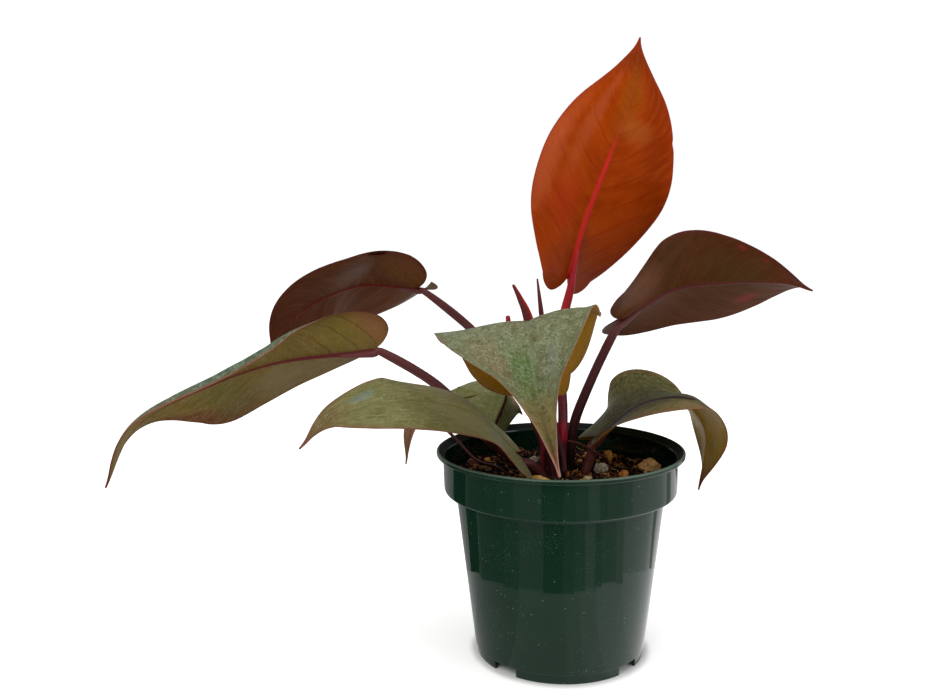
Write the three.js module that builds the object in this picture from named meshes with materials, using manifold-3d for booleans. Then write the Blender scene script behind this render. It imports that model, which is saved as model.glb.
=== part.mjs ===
// Prince of orange philodendron in a round nursery pot.
// Millimetres, +Z up. The origin is the middle of the pot's foot, on the surface it stands on.
// -Y is the side that the open front of the plant faces.
import * as THREE from 'three';
import { mergeVertices } from 'three/addons/utils/BufferGeometryUtils.js';
import Module from 'manifold-3d';

const wasm = await Module();
wasm.setup();

// Pot: a 4.5 inch standard round nursery pot.
const POT_HEIGHT = 98;
const LIP_RADIUS = 57.9;
const LIP_DEPTH = 2.4;
const LIP_FLARE = 2.2;
const BAND_RADIUS = 54.5;
const BAND_FOOT = 78.4;
const BODY_TOP_RADIUS = 48.8;
const BODY_FOOT_RADIUS = 40.4;
const LEDGE_HEIGHT = 4.4;
const SKIRT_RADIUS = 39.6;
const SKIRT_WALL = 1.6;
const WALL = 1.5;
const FOOT_DISC_RADIUS = 22;
const FLOOR_WALL = 1.8;
const POT_SIDES = 48;
const NOTCH_WIDTH = 12.6;
const NOTCH_REACH = 8;
const NOTCH_HEIGHT = 3.9;
const DRAIN_WIDTH = 5;
const DRAIN_REACH = 5;
const DRAIN_RADIUS = 36.2;
const DRAIN_HEIGHT = 7.4;
const NOTCH_FIRST = 46;
const NOTCH_COUNT = 4;

// Potting mix and what lies on it.
const GAP = 0.35;
const MIX_HEIGHT = 84;
const MIX_LUMP = 1.1;
const MIX_SIDES = 36;
const MIX_BRIM_DROP = 2.5;
const MIX_FOOT_INSET = 1.6;
const MIX_WALL_GAP = 0.65;
const MIX_TOP_RINGS = [1, 0.8, 0.6, 0.4, 0.2];
const STALK_FOOT = 77;

// Leaves: thickness of a blade, rows along the rib, columns on each side of it.
const BLADE = 0.9;
const ROWS = 20;
const COLUMNS = [0.36, 0.6, 0.8, 1];
const HEM_FROM = 0.6;
const RIB_STEPS = 120;
const FINE_STEPS = 480;
const RIB_REACH = 2.2;
const KEEL_START = 3.4;
const KEEL_END = 0.3;
const STALK_SIDES = 8;
const LONG_PATH = 7;
const STALK_END_RADIUS = 2.1;
const STALK_END_AT = 1.2;

// A blade laid flat: share of the rib where a row leaves it, share along the rib where the row
// meets the margin (negative in the two basal lobes) and half width there as a share of the width.
const MARGIN = [
  [0, 0, 0], [0.004, -0.045, 0.09], [0.015, -0.065, 0.21], [0.045, -0.035, 0.335],
  [0.1, 0.04, 0.425], [0.19, 0.16, 0.487], [0.32, 0.31, 0.5], [0.47, 0.47, 0.462],
  [0.62, 0.62, 0.372], [0.76, 0.765, 0.245], [0.88, 0.885, 0.112], [0.95, 0.953, 0.034], [1, 1, 0],
];

// Each leaf: the rib from stalk to tip, which way the upper face looks at its foot, the width, and
// in degrees at the foot, middle and tip the roll about the rib, then for each side, seen from
// above with the tip up, the fold at the rib and the curl from the rib to the margin; the hem, at
// five even places, is the further turn of the strip along the margin.
const LEAVES = {
  tall: {
    rib: [[6, 22, 177], [14, 22, 204], [24, 16, 232], [34, 13, 261], [40, 26, 289]],
    face: [-0.15, 1, 0.1], width: 70, roll: [46, -1, -6],
    left: { fold: [13, -2, 31], curl: [-27, -5, -2], wide: 1.02 },
    right: { fold: [-4, -2, 33], curl: [7, -9, 6], wide: 1.01 },
    stalk: [[1.2, 8], [1.9, 9.5, 95], [2.5, 11, 104], [2.9, 16.5, 118], [1.4, 20, 145]], radius: 2.45,
    colour: 0x9a3d10, stalkColour: 0x9c1b30,
  },
  right: {
    rib: [[30, 12, 157], [54, 18, 170], [76, 12, 174], [100, -4, 175], [110, -18, 172]],
    face: [-0.1, 0.8, 0.5], width: 68, roll: [33, 4, 22],
    left: { fold: [25, 12, 25], curl: [-50, 0, -3], wide: 1.02 },
    right: { fold: [13, 10, 17], curl: [-15, -16, 13], wide: 1.06 },
    stalk: [[6.4, 13.5], [6.8, 13.2, 98], [8.9, 13, 109], [13.2, 13, 120.5], [20.5, 13.5, 137]], radius: 2.5,
    colour: 0x4b2d1e, stalkColour: 0x52242d,
  },
  upper_left: {
    rib: [[-67, 45, 171], [-93, 50, 173], [-110, 35, 169], [-127, 22, 159], [-138, 16, 142]],
    face: [0.2, 0.8, 0.5], width: 69, roll: [-29, -12, 24],
    left: { fold: [6, -9, 15], curl: [1, -6, -7], hem: [10, -7, 2, -4, -3], wide: 1.03 },
    right: { fold: [17, -5, 6], curl: [34, -30, -5], hem: [13, 14, -4, -1, -1], wide: 1.03 },
    stalk: [[-5.2, 15.4], [-5.8, 15.4, 94], [-13, 20.5, 113], [-26, 33, 134], [-42, 41, 151]], radius: 2.3,
    colour: 0x462319, stalkColour: 0x50232d,
  },
  long_left: {
    rib: [[-86, -11, 146], [-126, -26, 144], [-153, -52, 137], [-176, -65, 124], [-188, -69, 100]],
    face: [0.2, 0.8, 0.5], width: 54, roll: [15, 1, -18],
    left: { fold: [49, -10, 6], curl: [-78, -65, -99], hem: [-15, -26, -8, -28, -18], wide: 0.91 },
    right: { fold: [63, 7, 32], curl: [-15, -20, 3], hem: [-4, 16, -18, 23, 0], wide: 1.04 },
    stalk: [[-11, 1.4], [-16, 1, 89], [-24, 0.5, 94.5], [-36, 0.5, 104.5], [-56, -1, 127.5]], radius: 2.5,
    colour: 0x665a30, stalkColour: 0x50232d,
  },
  low_left: {
    rib: [[-22, -19, 101], [-42, -31, 122], [-71, -55, 131], [-97, -57, 125], [-112, -60, 113]],
    face: [0, -0.4, 0.9], width: 54, roll: [5, 6, 17],
    left: { fold: [1, 4, 23], curl: [2, 12, -63], wide: 1 },
    right: { fold: [0, 2, 17], curl: [-15, -43, 38], wide: 1 },
    stalk: [[-8, -3.6], [-10.5, -8, 88], [-14.5, -13, 93.5]], radius: 2.1,
    colour: 0x737346, stalkColour: 0x50232d,
  },
  front: {
    rib: [[-9, -12, 131], [-10, -15, 150], [-18, -48, 162], [-16, -73, 137], [-9, -93, 109]],
    face: [0, 0.9, 0.3], width: 61, roll: [-15, 1, -11],
    left: { fold: [29, 15, 64], curl: [80, -41, 128], hem: [35, -75, 62, 59, 50], wide: 1.01 },
    right: { fold: [34, 15, 68], curl: [-75, -1, 160], hem: [38, 33, 7, -9, -10], wide: 1.37 },
    stalk: [[-3, -5], [-4.5, -4.6, 100], [-5.5, -2, 111]], radius: 2.2,
    colour: 0x6e7d5f, stalkColour: 0x50232d,
  },
  back: {
    rib: [[-29, 26, 104], [-24, 33, 119], [-40, 58, 120], [-70, 64, 101], [-77, 64, 74]],
    face: [-0.2, -0.9, 0.5], width: 51, roll: [24, 15, 20],
    left: { fold: [-4, 0, 9], curl: [-6, 1, 0], wide: 1.04 },
    right: { fold: [-50, -26, 2], curl: [-29, -33, -6], wide: 0.8 },
    stalk: [[-13.6, 6], [-18, 9, 86.5], [-24, 16, 91], [-29, 22, 97]], radius: 1.9, shift: -1.4,
    colour: 0x737864, stalkColour: 0x50232d,
  },
  low_right: {
    rib: [[18, 9, 101], [39, 12, 117], [60, 17, 118], [73, 15, 101], [69, 12, 73]],
    face: [0, -0.4, 0.9], width: 73, roll: [-18, -35, -12],
    left: { fold: [5, -3, 14], curl: [-74, 42, -112], hem: [-18, 1, 7, -12, 0], wide: 1.15 },
    right: { fold: [11, 10, 19], curl: [52, -43, 42], hem: [-27, -14, 10, 20, -1], wide: 1.06 },
    stalk: [[12.6, 3], [14, 4, 89], [15.5, 5, 93.5]], radius: 2.3,
    colour: 0x5f5f41, stalkColour: 0x46202a,
  },
};

// Sheaths and dry stalks: path, then half width and half depth at even stations along it.
const SHEATHS = {
  sheath_wide: {
    path: [[-3.2, 10.4, STALK_FOOT], [-3.2, 10.4, 84.5], [-5, 10, 104], [-9, 9, 134], [-14, 9, 158],
      [-18, 9, 168], [-21, 9, 174]],
    wide: [1.8, 1.8, 2, 2.6, 3.3, 2.3, 0.9], deep: [1.7, 1.7, 1.6, 1.4, 1.2, 0.9, 0.4],
    colour: 0x6a2328,
  },
  sheath_thin: {
    path: [[2.4, 0.2, STALK_FOOT], [2.3, 0.6, 84.5], [1.6, 3.4, 94], [-1, 7.6, 104],
      [-2.7, 10.5, 118], [-5.5, 9.5, 140], [-8, 6, 160], [-10, 5.5, 177]],
    wide: [1.4, 1.4, 1.3, 1.3, 1.3, 1.3, 1.15, 0.5], deep: [1.4, 1.4, 1.3, 1.2, 1.1, 1, 0.8, 0.4],
    colour: 0x5c262b,
  },
  new_leaf: {
    path: [[-7.2, 5.4, STALK_FOOT], [-7.2, 5.4, 84.5], [-8, 5.2, 104], [-11.5, 5.4, 120],
      [-16.5, 9, 136], [-22.3, 13, 151], [-23.5, 13, 159]],
    wide: [1.3, 1.3, 1.3, 1.4, 1.6, 1.7, 1.2], deep: [1.3, 1.3, 1.3, 1.4, 1.6, 1.7, 1.2],
    colour: 0x8c2a34,
  },
  dry_stalk_left: {
    path: [[-66, 27, 105.5], [-59, 25, 104], [-53, 22.8, 101.4], [-47.6, 18.6, 96.6], [-39, 11, 89.6],
      [-29, 4, 87.6], [-20.5, 5, 80]],
    wide: [0.7, 0.8, 0.8, 0.8, 0.8, 0.8, 0.8], deep: [0.7, 0.8, 0.8, 0.8, 0.8, 0.8, 0.8],
    colour: 0x3a1d1a,
  },
  dry_stalk_right: {
    path: [[4, 2.4, 100.6], [8, 1.6, 99.9], [12.5, 0.6, 98], [17, 1, 95.4], [21.2, 5, 92],
      [24, 11, 88.4], [25, 18, 80]],
    wide: [0.7, 0.7, 0.7, 0.7, 0.7, 0.7, 0.7], deep: [0.7, 0.7, 0.7, 0.7, 0.7, 0.7, 0.7],
    colour: 0x4a2320,
  },
};

// The short stem that the stalks rise round.
const CROWN = { at: [-2.9, 2.4], radius: 2.8, top: 98, colour: 0x3c1a20 };

// Loose pieces on the mix: place of the middle, half sizes, turn in degrees, seed, colour.
const CHUNKS = {
  bark_tan: { at: [43.5, 4.2, 87.4], half: [5.8, 4.4, 4], turn: 10, seed: 3, colour: 0xa58250 },
  bark_orange: { at: [26.4, 22, 87.6], half: [3, 2.6, 3.4], turn: 40, seed: 5, colour: 0xaa691e },
  bark_small: { at: [30, -3, 85.4], half: [3.2, 2.6, 2.4], turn: 75, seed: 7, colour: 0xa0642a },
  bark_front: { at: [-11.6, -13.5, 85.8], half: [5.6, 2.7, 2.4], turn: -8, seed: 9, colour: 0xb08a48 },
  bark_red: { at: [-40, 22, 86], half: [3.6, 3, 2.6], turn: 30, seed: 11, colour: 0x6e3226 },
  pumice_right: { at: [20.2, 4, 86.6], half: [3.4, 3, 3.4], turn: 20, seed: 13, colour: 0xaaa596 },
  pumice_back: { at: [-10.6, 17.5, 86.6], half: [3, 2.8, 3], turn: 50, seed: 15, colour: 0x96907c },
  pumice_front: { at: [12, -11, 85], half: [2.4, 2, 1.9], turn: 0, seed: 17, colour: 0xb4a678 },
};

// Even draw from 0 to 1 that is the same for the same seed.
function draw(seed) {
  const x = Math.sin(seed * 127.1) * 43758.5453;
  return x - Math.floor(x);
}

// Value at t (0 to 1) of evenly spaced stations, by Catmull-Rom; a station is a list of numbers.
function stations(list, t) {
  const last = list.length - 1;
  const u = Math.min(Math.max(t, 0), 1) * last;
  const i = Math.min(Math.floor(u), last - 1);
  const w = u - i;
  const b = list[i];
  const c = list[i + 1];
  const a = i > 0 ? list[i - 1] : b.map((v, k) => 2 * v - c[k]);
  const d = i + 2 <= last ? list[i + 2] : c.map((v, k) => 2 * v - b[k]);
  return b.map((v, k) => {
    const m0 = (c[k] - a[k]) / 2;
    const m1 = (d[k] - b[k]) / 2;
    const p3 = 2 * v - 2 * c[k] + m0 + m1;
    const p2 = -3 * v + 3 * c[k] - 2 * m0 - m1;
    return ((p3 * w + p2) * w + m0) * w + v;
  });
}

function angleAt(list, t) {
  return THREE.MathUtils.degToRad(stations(list.map((v) => [v]), t)[0]);
}

// Frames at even lengths along a path: point, tangent, and a normal carried along without twist.
function pathFrames(points, firstNormal, count) {
  const fine = [];
  for (let i = 0; i <= FINE_STEPS; i += 1) {
    fine.push(new THREE.Vector3(...stations(points, i / FINE_STEPS)));
  }
  const run = [0];
  for (let i = 1; i < fine.length; i += 1) {
    run.push(run[i - 1] + fine[i].distanceTo(fine[i - 1]));
  }
  const length = run[run.length - 1];
  const at = [];
  let j = 0;
  for (let i = 0; i < count; i += 1) {
    const s = (length * i) / (count - 1);
    while (j < fine.length - 2 && run[j + 1] < s) {
      j += 1;
    }
    at.push(fine[j].clone().lerp(fine[j + 1], (s - run[j]) / (run[j + 1] - run[j])));
  }
  const frames = [];
  let normal = new THREE.Vector3(...firstNormal);
  for (let i = 0; i < count; i += 1) {
    const tangent = at[Math.min(i + 1, count - 1)].clone().sub(at[Math.max(i - 1, 0)]).normalize();
    normal = normal.clone().addScaledVector(tangent, -normal.dot(tangent)).normalize();
    frames.push({ point: at[i], tangent, normal });
  }
  return { frames, length };
}

// The rib of a leaf with its frames rolled.
function ribOf(leaf) {
  const { frames, length } = pathFrames(leaf.rib, leaf.face, RIB_STEPS + 1);
  frames.forEach((f, i) => {
    const side = new THREE.Vector3().crossVectors(f.tangent, f.normal);
    const roll = angleAt(leaf.roll, i / RIB_STEPS);
    const normal = f.normal.clone().multiplyScalar(Math.cos(roll));
    normal.addScaledVector(side, Math.sin(roll));
    f.face = normal;
    f.side = new THREE.Vector3().crossVectors(f.tangent, normal);
  });
  return { frames, length };
}

function frameAt(rib, share) {
  const u = Math.min(Math.max(share, 0), 1) * RIB_STEPS;
  const i = Math.min(Math.floor(u), RIB_STEPS - 1);
  const w = u - i;
  const mix = (key) => rib.frames[i][key].clone().lerp(rib.frames[i + 1][key], w);
  return { point: mix('point'), tangent: mix('tangent'), face: mix('face'), side: mix('side') };
}

// How far out and up an arc goes that starts at an angle and bends evenly over its run.
function arc(start, bend, run) {
  const even = Math.abs(bend) < 1e-6 ? 1e-6 : bend;
  const angle = start + even * run;
  const out = (Math.sin(angle) - Math.sin(start)) / even;
  const up = (Math.cos(start) - Math.cos(angle)) / even;
  return { angle, out, up };
}

// A point of the blade: share of the rib it leaves from, distance along the row, and its normal.
// The cross-section of each side is two arcs: it leaves the rib at the fold angle and bends
// evenly, and in the hem it bends by the hem's turn too.
function bladePoint(leaf, rib, sign, margin, k) {
  const half = leaf.width / 2;
  const bend = sign < 0 ? leaf.left : leaf.right;
  const share = margin[0] * (1 - k) + margin[1] * k;
  const y = margin[2] * 2 * half * bend.wide * k;
  const f = frameAt(rib, share);
  const back = Math.min(share, 0) * rib.length;
  const fold = angleAt(bend.fold, share);
  const curl = angleAt(bend.curl, share) / half;
  const hem = bend.hem ? angleAt(bend.hem, share) / (half * (1 - HEM_FROM)) : 0;
  const inner = k > HEM_FROM ? (y * HEM_FROM) / k : y;
  const first = arc(fold, curl, inner);
  const last = arc(first.angle, curl + hem, y - inner);
  const point = f.point.clone().addScaledVector(f.tangent, back);
  point.addScaledVector(f.side, sign * (first.out + last.out));
  point.addScaledVector(f.face, first.up + last.up);
  const tilt = k === 0 ? 0 : last.angle;
  const normal = f.face.clone().multiplyScalar(Math.cos(tilt));
  normal.addScaledVector(f.side, -sign * Math.sin(tilt));
  return { point, normal, share };
}

// A closed body from faces given as lists of points: every ring of three or four, seen outside.
class Body {
  constructor() {
    this.at = [];
  }

  add(...ring) {
    for (let i = 1; i < ring.length - 1; i += 1) {
      const corners = [ring[0], ring[i], ring[i + 1]];
      const twin = corners.some((p, k) => p.distanceTo(corners[(k + 1) % 3]) < 1e-4);
      if (!twin) {
        corners.forEach((p) => this.at.push(p.x, p.y, p.z));
      }
    }
  }

  geometry() {
    const geometry = new THREE.BufferGeometry();
    geometry.setAttribute('position', new THREE.Float32BufferAttribute(this.at, 3));
    return mergeVertices(geometry, 1e-4);
  }
}

// The blade: the same grid on the upper and lower face, a keel under the rib, and a rim.
function bladeGeometry(leaf) {
  const rib = ribOf(leaf);
  const upper = [];
  const lower = [];
  for (let i = 0; i <= ROWS; i += 1) {
    const margin = stations(MARGIN, i / ROWS);
    const row = [];
    for (const sign of [-1, 1]) {
      const bend = sign < 0 ? leaf.left : leaf.right;
      const reach = Math.hypot(margin[2] * leaf.width * bend.wide, (margin[1] - margin[0]) * rib.length);
      const near = Math.min(RIB_REACH * (1 - 0.6 * margin[0]) / Math.max(reach, 1e-3), 0.3);
      const shares = [near, ...COLUMNS.map((c) => near + (1 - near) * c)];
      const points = shares.map((k) => bladePoint(leaf, rib, sign, margin, k));
      row.push(...(sign < 0 ? points.reverse() : points));
    }
    row.splice(COLUMNS.length + 1, 0, bladePoint(leaf, rib, 1, margin, 0));
    const keel = margin[0] < 0.03 || i === ROWS ? 0
      : KEEL_START + (KEEL_END - KEEL_START) * margin[0] ** 0.7;
    upper.push(row.map((p) => p.point.clone().addScaledVector(p.normal, BLADE / 2)));
    lower.push(row.map((p, c) => {
      const drop = BLADE / 2 + (c === COLUMNS.length + 1 ? keel : 0);
      return p.point.clone().addScaledVector(p.normal, -drop);
    }));
  }
  for (const grid of [upper, lower]) {
    for (const i of [0, ROWS]) {
      const mid = grid[i][COLUMNS.length + 1];
      grid[i] = grid[i].map(() => mid);
    }
  }
  const body = new Body();
  const width = upper[0].length - 1;
  for (let i = 0; i < ROWS; i += 1) {
    for (let j = 0; j < width; j += 1) {
      const u = [upper[i][j], upper[i][j + 1], upper[i + 1][j + 1], upper[i + 1][j]];
      const l = [lower[i][j], lower[i][j + 1], lower[i + 1][j + 1], lower[i + 1][j]];
      const first = j < width / 2;
      if (first) {
        body.add(u[0], u[1], u[2]);
        body.add(u[0], u[2], u[3]);
        body.add(l[0], l[2], l[1]);
        body.add(l[0], l[3], l[2]);
      } else {
        body.add(u[0], u[1], u[3]);
        body.add(u[1], u[2], u[3]);
        body.add(l[0], l[3], l[1]);
        body.add(l[1], l[3], l[2]);
      }
    }
    body.add(upper[i][0], upper[i + 1][0], lower[i + 1][0], lower[i][0]);
    body.add(upper[i + 1][width], upper[i][width], lower[i][width], lower[i + 1][width]);
  }
  return body.geometry();
}

// A closed tube along a path with its half width and half depth given at stations; grown makes it
// wider all round, for the hole that it stands in.
function tubeGeometry(path, wide, deep, steps, sides, across, grown = 0) {
  const { frames } = pathFrames(path, across, steps + 1);
  const rings = frames.map((f, i) => {
    const a = stations(wide.map((v) => [v]), i / steps)[0] + grown;
    const b = stations(deep.map((v) => [v]), i / steps)[0] + grown;
    const side = new THREE.Vector3().crossVectors(f.tangent, f.normal);
    const ring = [];
    for (let k = 0; k < sides; k += 1) {
      const angle = (2 * Math.PI * k) / sides;
      const p = f.point.clone().addScaledVector(f.normal, a * Math.cos(angle));
      ring.push(p.addScaledVector(side, b * Math.sin(angle)));
    }
    return ring;
  });
  const body = new Body();
  for (let i = 0; i < steps; i += 1) {
    for (let k = 0; k < sides; k += 1) {
      const n = (k + 1) % sides;
      body.add(rings[i][k], rings[i][n], rings[i + 1][n], rings[i + 1][k]);
    }
  }
  body.add(...[...rings[0]].reverse());
  body.add(...rings[steps]);
  return body.geometry();
}

// The stalk of a leaf rises from the mix and runs in under the foot of the rib.
function stalkPath(leaf) {
  const rib = ribOf(leaf);
  const foot = frameAt(rib, 0);
  const drop = BLADE / 2 + GAP + STALK_END_RADIUS;
  const end = foot.point.clone().addScaledVector(foot.face, -drop);
  end.addScaledVector(foot.side, leaf.shift ?? 0);
  const last = end.clone().addScaledVector(foot.tangent, STALK_END_AT);
  const before = end.clone().addScaledVector(foot.tangent, -5).addScaledVector(foot.face, -0.6);
  const [x, y] = leaf.stalk[0];
  return [[x, y, STALK_FOOT], [x, y, 84.5], ...leaf.stalk.slice(1), before.toArray(), last.toArray()];
}

function stalkGeometry(leaf, grown = 0) {
  const path = stalkPath(leaf);
  const radius = path.map((p, i) => {
    const share = i / (path.length - 1);
    return leaf.radius + (STALK_END_RADIUS - leaf.radius) * share;
  });
  const steps = path.length > LONG_PATH ? 14 : 10;
  return tubeGeometry(path, radius, radius, steps, STALK_SIDES, [0, 1, 0], grown);
}

function sheathGeometry(sheath, grown = 0) {
  const steps = sheath.path.length * 2;
  return tubeGeometry(sheath.path, sheath.wide, sheath.deep, steps, 6, [1, 0, 0], grown);
}

// A body turned about Z from an outline of [radius, height] that closes on itself or on the axis.
function turned(outline, sides) {
  const points = outline.map(([r, z]) => new THREE.Vector2(r, z));
  const geometry = new THREE.LatheGeometry(points, sides);
  geometry.rotateX(Math.PI / 2);
  geometry.deleteAttribute('normal');
  geometry.deleteAttribute('uv');
  return mergeVertices(geometry, 1e-4);
}

// Solids for joining and cutting, and back.
function solid(geometry) {
  const bare = geometry.clone();
  bare.deleteAttribute('normal');
  bare.deleteAttribute('uv');
  const merged = mergeVertices(bare, 1e-4);
  return new wasm.Manifold(new wasm.Mesh({
    numProp: 3,
    vertProperties: new Float32Array(merged.attributes.position.array),
    triVerts: new Uint32Array(merged.index.array),
  }));
}

function fromSolid(body) {
  const mesh = body.getMesh();
  const geometry = new THREE.BufferGeometry();
  geometry.setAttribute('position', new THREE.BufferAttribute(mesh.vertProperties, 3));
  geometry.setIndex(new THREE.BufferAttribute(mesh.triVerts, 1));
  return geometry;
}

// Pot: lip bead, flared open inside, then band, step in, tapered wall, ledge, skirt. Under it a
// middle disc reaches the ground and the rest of the floor is raised. Four notches through the
// skirt each lead to a drain hole in the raised floor, close to the wall.
function potGeometry() {
  const bandInner = BAND_RADIUS - WALL;
  const bodyTopInner = BODY_TOP_RADIUS - WALL;
  const floorTop = LEDGE_HEIGHT + FLOOR_WALL;
  const outline = [
    [0, 0],
    [FOOT_DISC_RADIUS, 0],
    [FOOT_DISC_RADIUS + 2.5, LEDGE_HEIGHT - 0.2],
    [SKIRT_RADIUS - SKIRT_WALL, LEDGE_HEIGHT - 0.2],
    [SKIRT_RADIUS - SKIRT_WALL, 0],
    [SKIRT_RADIUS, 0],
    [SKIRT_RADIUS + 0.2, LEDGE_HEIGHT - 0.3],
    [BODY_FOOT_RADIUS, LEDGE_HEIGHT],
    [BODY_TOP_RADIUS, BAND_FOOT - 2],
    [BODY_TOP_RADIUS + 0.6, BAND_FOOT - 0.8],
    [BAND_RADIUS - 1.2, BAND_FOOT],
    [BAND_RADIUS - 0.2, BAND_FOOT + 0.8],
    [BAND_RADIUS, BAND_FOOT + 2.4],
    [BAND_RADIUS + 0.4, POT_HEIGHT - LIP_DEPTH - 0.4],
    [LIP_RADIUS - 0.5, POT_HEIGHT - LIP_DEPTH],
    [LIP_RADIUS, POT_HEIGHT - LIP_DEPTH + 0.7],
    [LIP_RADIUS, POT_HEIGHT - 0.6],
    [LIP_RADIUS - 0.7, POT_HEIGHT],
    [bandInner + 0.6 + LIP_FLARE, POT_HEIGHT],
    [bandInner + 0.6, POT_HEIGHT - LIP_FLARE],
    [bandInner, BAND_FOOT + 3.6],
    [bodyTopInner + 1.2, BAND_FOOT + 0.8],
    [bodyTopInner, BAND_FOOT - 1.4],
    [BODY_FOOT_RADIUS - WALL, floorTop + 0.8],
    [BODY_FOOT_RADIUS - WALL - 0.8, floorTop],
    [FOOT_DISC_RADIUS + 2.5, floorTop],
    [FOOT_DISC_RADIUS, FLOOR_WALL],
    [0, FLOOR_WALL],
  ];
  let pot = solid(turned(outline, POT_SIDES));
  for (let i = 0; i < NOTCH_COUNT; i += 1) {
    const angle = THREE.MathUtils.degToRad(NOTCH_FIRST - 90 + i * 90);
    const notch = new THREE.BoxGeometry(NOTCH_REACH, NOTCH_WIDTH, NOTCH_HEIGHT * 2);
    const drain = new THREE.BoxGeometry(DRAIN_REACH, DRAIN_WIDTH, DRAIN_HEIGHT * 2);
    notch.translate(BODY_FOOT_RADIUS, 0, 0);
    drain.translate(DRAIN_RADIUS, 0, 0);
    for (const cut of [notch, drain]) {
      cut.rotateZ(angle);
      pot = pot.subtract(solid(cut));
    }
  }
  return fromSolid(pot);
}

// Inner radius of the pot at a height above its floor.
function potInside(z) {
  const low = LEDGE_HEIGHT + FLOOR_WALL + 0.8;
  const share = (z - low) / (BAND_FOOT - 1.4 - low);
  if (share < 1) {
    return BODY_FOOT_RADIUS - WALL + share * (BODY_TOP_RADIUS - BODY_FOOT_RADIUS);
  }
  const bodyTopInner = BODY_TOP_RADIUS - WALL;
  const step = Math.min((z - BAND_FOOT + 1.4) / 2.2, 1);
  const rise = Math.min(Math.max((z - BAND_FOOT - 0.8) / 2.8, 0), 1);
  return bodyTopInner + 1.2 * step + (BAND_RADIUS - BODY_TOP_RADIUS - 1.2) * rise;
}

// Potting mix: a plug that fills the pot, its top lumpy, with a hole for each thing that stands
// in it and a hollow under each loose piece.
function mixHeight(x, y) {
  const wave = Math.sin(x * 0.19 + 1.3) * Math.cos(y * 0.23 - 0.4);
  const lump = Math.sin(x * 0.47 - y * 0.31) * Math.sin(y * 0.53 + 0.9);
  return MIX_HEIGHT + MIX_LUMP * (0.6 * wave + 0.5 * lump);
}

function mixRing(radius, height) {
  const list = [];
  for (let k = 0; k < MIX_SIDES; k += 1) {
    const angle = (2 * Math.PI * k) / MIX_SIDES;
    const x = radius * Math.cos(angle);
    const y = radius * Math.sin(angle);
    list.push(new THREE.Vector3(x, y, height(x, y)));
  }
  return list;
}

function mixGeometry(standing) {
  const body = new Body();
  const floor = LEDGE_HEIGHT + FLOOR_WALL + GAP;
  const brim = MIX_HEIGHT - MIX_BRIM_DROP;
  const brimRadius = potInside(brim - 0.6) - GAP - 0.6;
  const rings = [
    mixRing(BODY_FOOT_RADIUS - WALL - MIX_FOOT_INSET, () => floor),
    ...[floor + 2, BAND_FOOT - 3].map((z) => mixRing(potInside(z) - MIX_WALL_GAP, () => z)),
    mixRing(potInside(BAND_FOOT - 0.2) - MIX_WALL_GAP, () => BAND_FOOT + 0.4),
    mixRing(brimRadius, () => brim),
  ];
  for (const share of MIX_TOP_RINGS) {
    rings.push(mixRing(brimRadius * share, mixHeight));
  }
  const foot = new THREE.Vector3(0, 0, floor);
  const top = new THREE.Vector3(0, 0, mixHeight(0, 0));
  const last = rings.length - 1;
  for (let k = 0; k < MIX_SIDES; k += 1) {
    const n = (k + 1) % MIX_SIDES;
    for (let i = 0; i < last; i += 1) {
      body.add(rings[i][k], rings[i][n], rings[i + 1][n], rings[i + 1][k]);
    }
    body.add(foot, rings[0][n], rings[0][k]);
    body.add(top, rings[last][k], rings[last][n]);
  }
  let mix = solid(body.geometry());
  for (const hole of standing) {
    mix = mix.subtract(solid(hole));
  }
  return fromSolid(mix);
}

// A broken lump: a twice split octahedron with its corners drawn in and out.
function chunkGeometry(chunk, grown = 0) {
  const geometry = mergeVertices(bareOctahedron(), 1e-4);
  const at = geometry.attributes.position;
  const turn = THREE.MathUtils.degToRad(chunk.turn);
  for (let i = 0; i < at.count; i += 1) {
    const p = new THREE.Vector3().fromBufferAttribute(at, i);
    const size = 0.84 + 0.28 * draw(chunk.seed * 31 + i);
    const x = p.x * (chunk.half[0] * size + grown);
    const y = p.y * (chunk.half[1] * size + grown);
    const z = p.z * (chunk.half[2] * size + grown);
    at.setXYZ(
      i,
      chunk.at[0] + x * Math.cos(turn) - y * Math.sin(turn),
      chunk.at[1] + x * Math.sin(turn) + y * Math.cos(turn),
      chunk.at[2] + z,
    );
  }
  return geometry;
}

function bareOctahedron() {
  const geometry = new THREE.OctahedronGeometry(1, 1);
  geometry.deleteAttribute('normal');
  geometry.deleteAttribute('uv');
  return geometry;
}

// The crown: a short stem, rounded at the top.
function crownGeometry(grown = 0) {
  const r = CROWN.radius + grown;
  const geometry = turned([
    [0, STALK_FOOT - grown],
    [r, STALK_FOOT - grown],
    [r, CROWN.top - 5],
    [r * 0.8, CROWN.top - 1.5],
    [r * 0.4, CROWN.top],
    [0, CROWN.top],
  ], 10);
  geometry.translate(CROWN.at[0], CROWN.at[1], 0);
  return geometry;
}

const plant = new THREE.Group();

function place(name, geometry, colour, roughness) {
  const bare = geometry.index ? geometry : mergeVertices(geometry, 1e-4);
  bare.computeVertexNormals();
  const material = new THREE.MeshStandardMaterial({ color: colour, roughness, metalness: 0 });
  const mesh = new THREE.Mesh(bare, material);
  mesh.name = name;
  plant.add(mesh);
}

place('pot', potGeometry(), 0x24382e, 0.3);

const standing = [crownGeometry(GAP)];
for (const leaf of Object.values(LEAVES)) {
  standing.push(stalkGeometry(leaf, GAP));
}
for (const sheath of Object.values(SHEATHS)) {
  standing.push(sheathGeometry(sheath, GAP));
}
for (const chunk of Object.values(CHUNKS)) {
  standing.push(chunkGeometry(chunk, GAP * 1.3));
}
place('potting_mix', mixGeometry(standing), 0x190f0a, 0.95);

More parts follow.
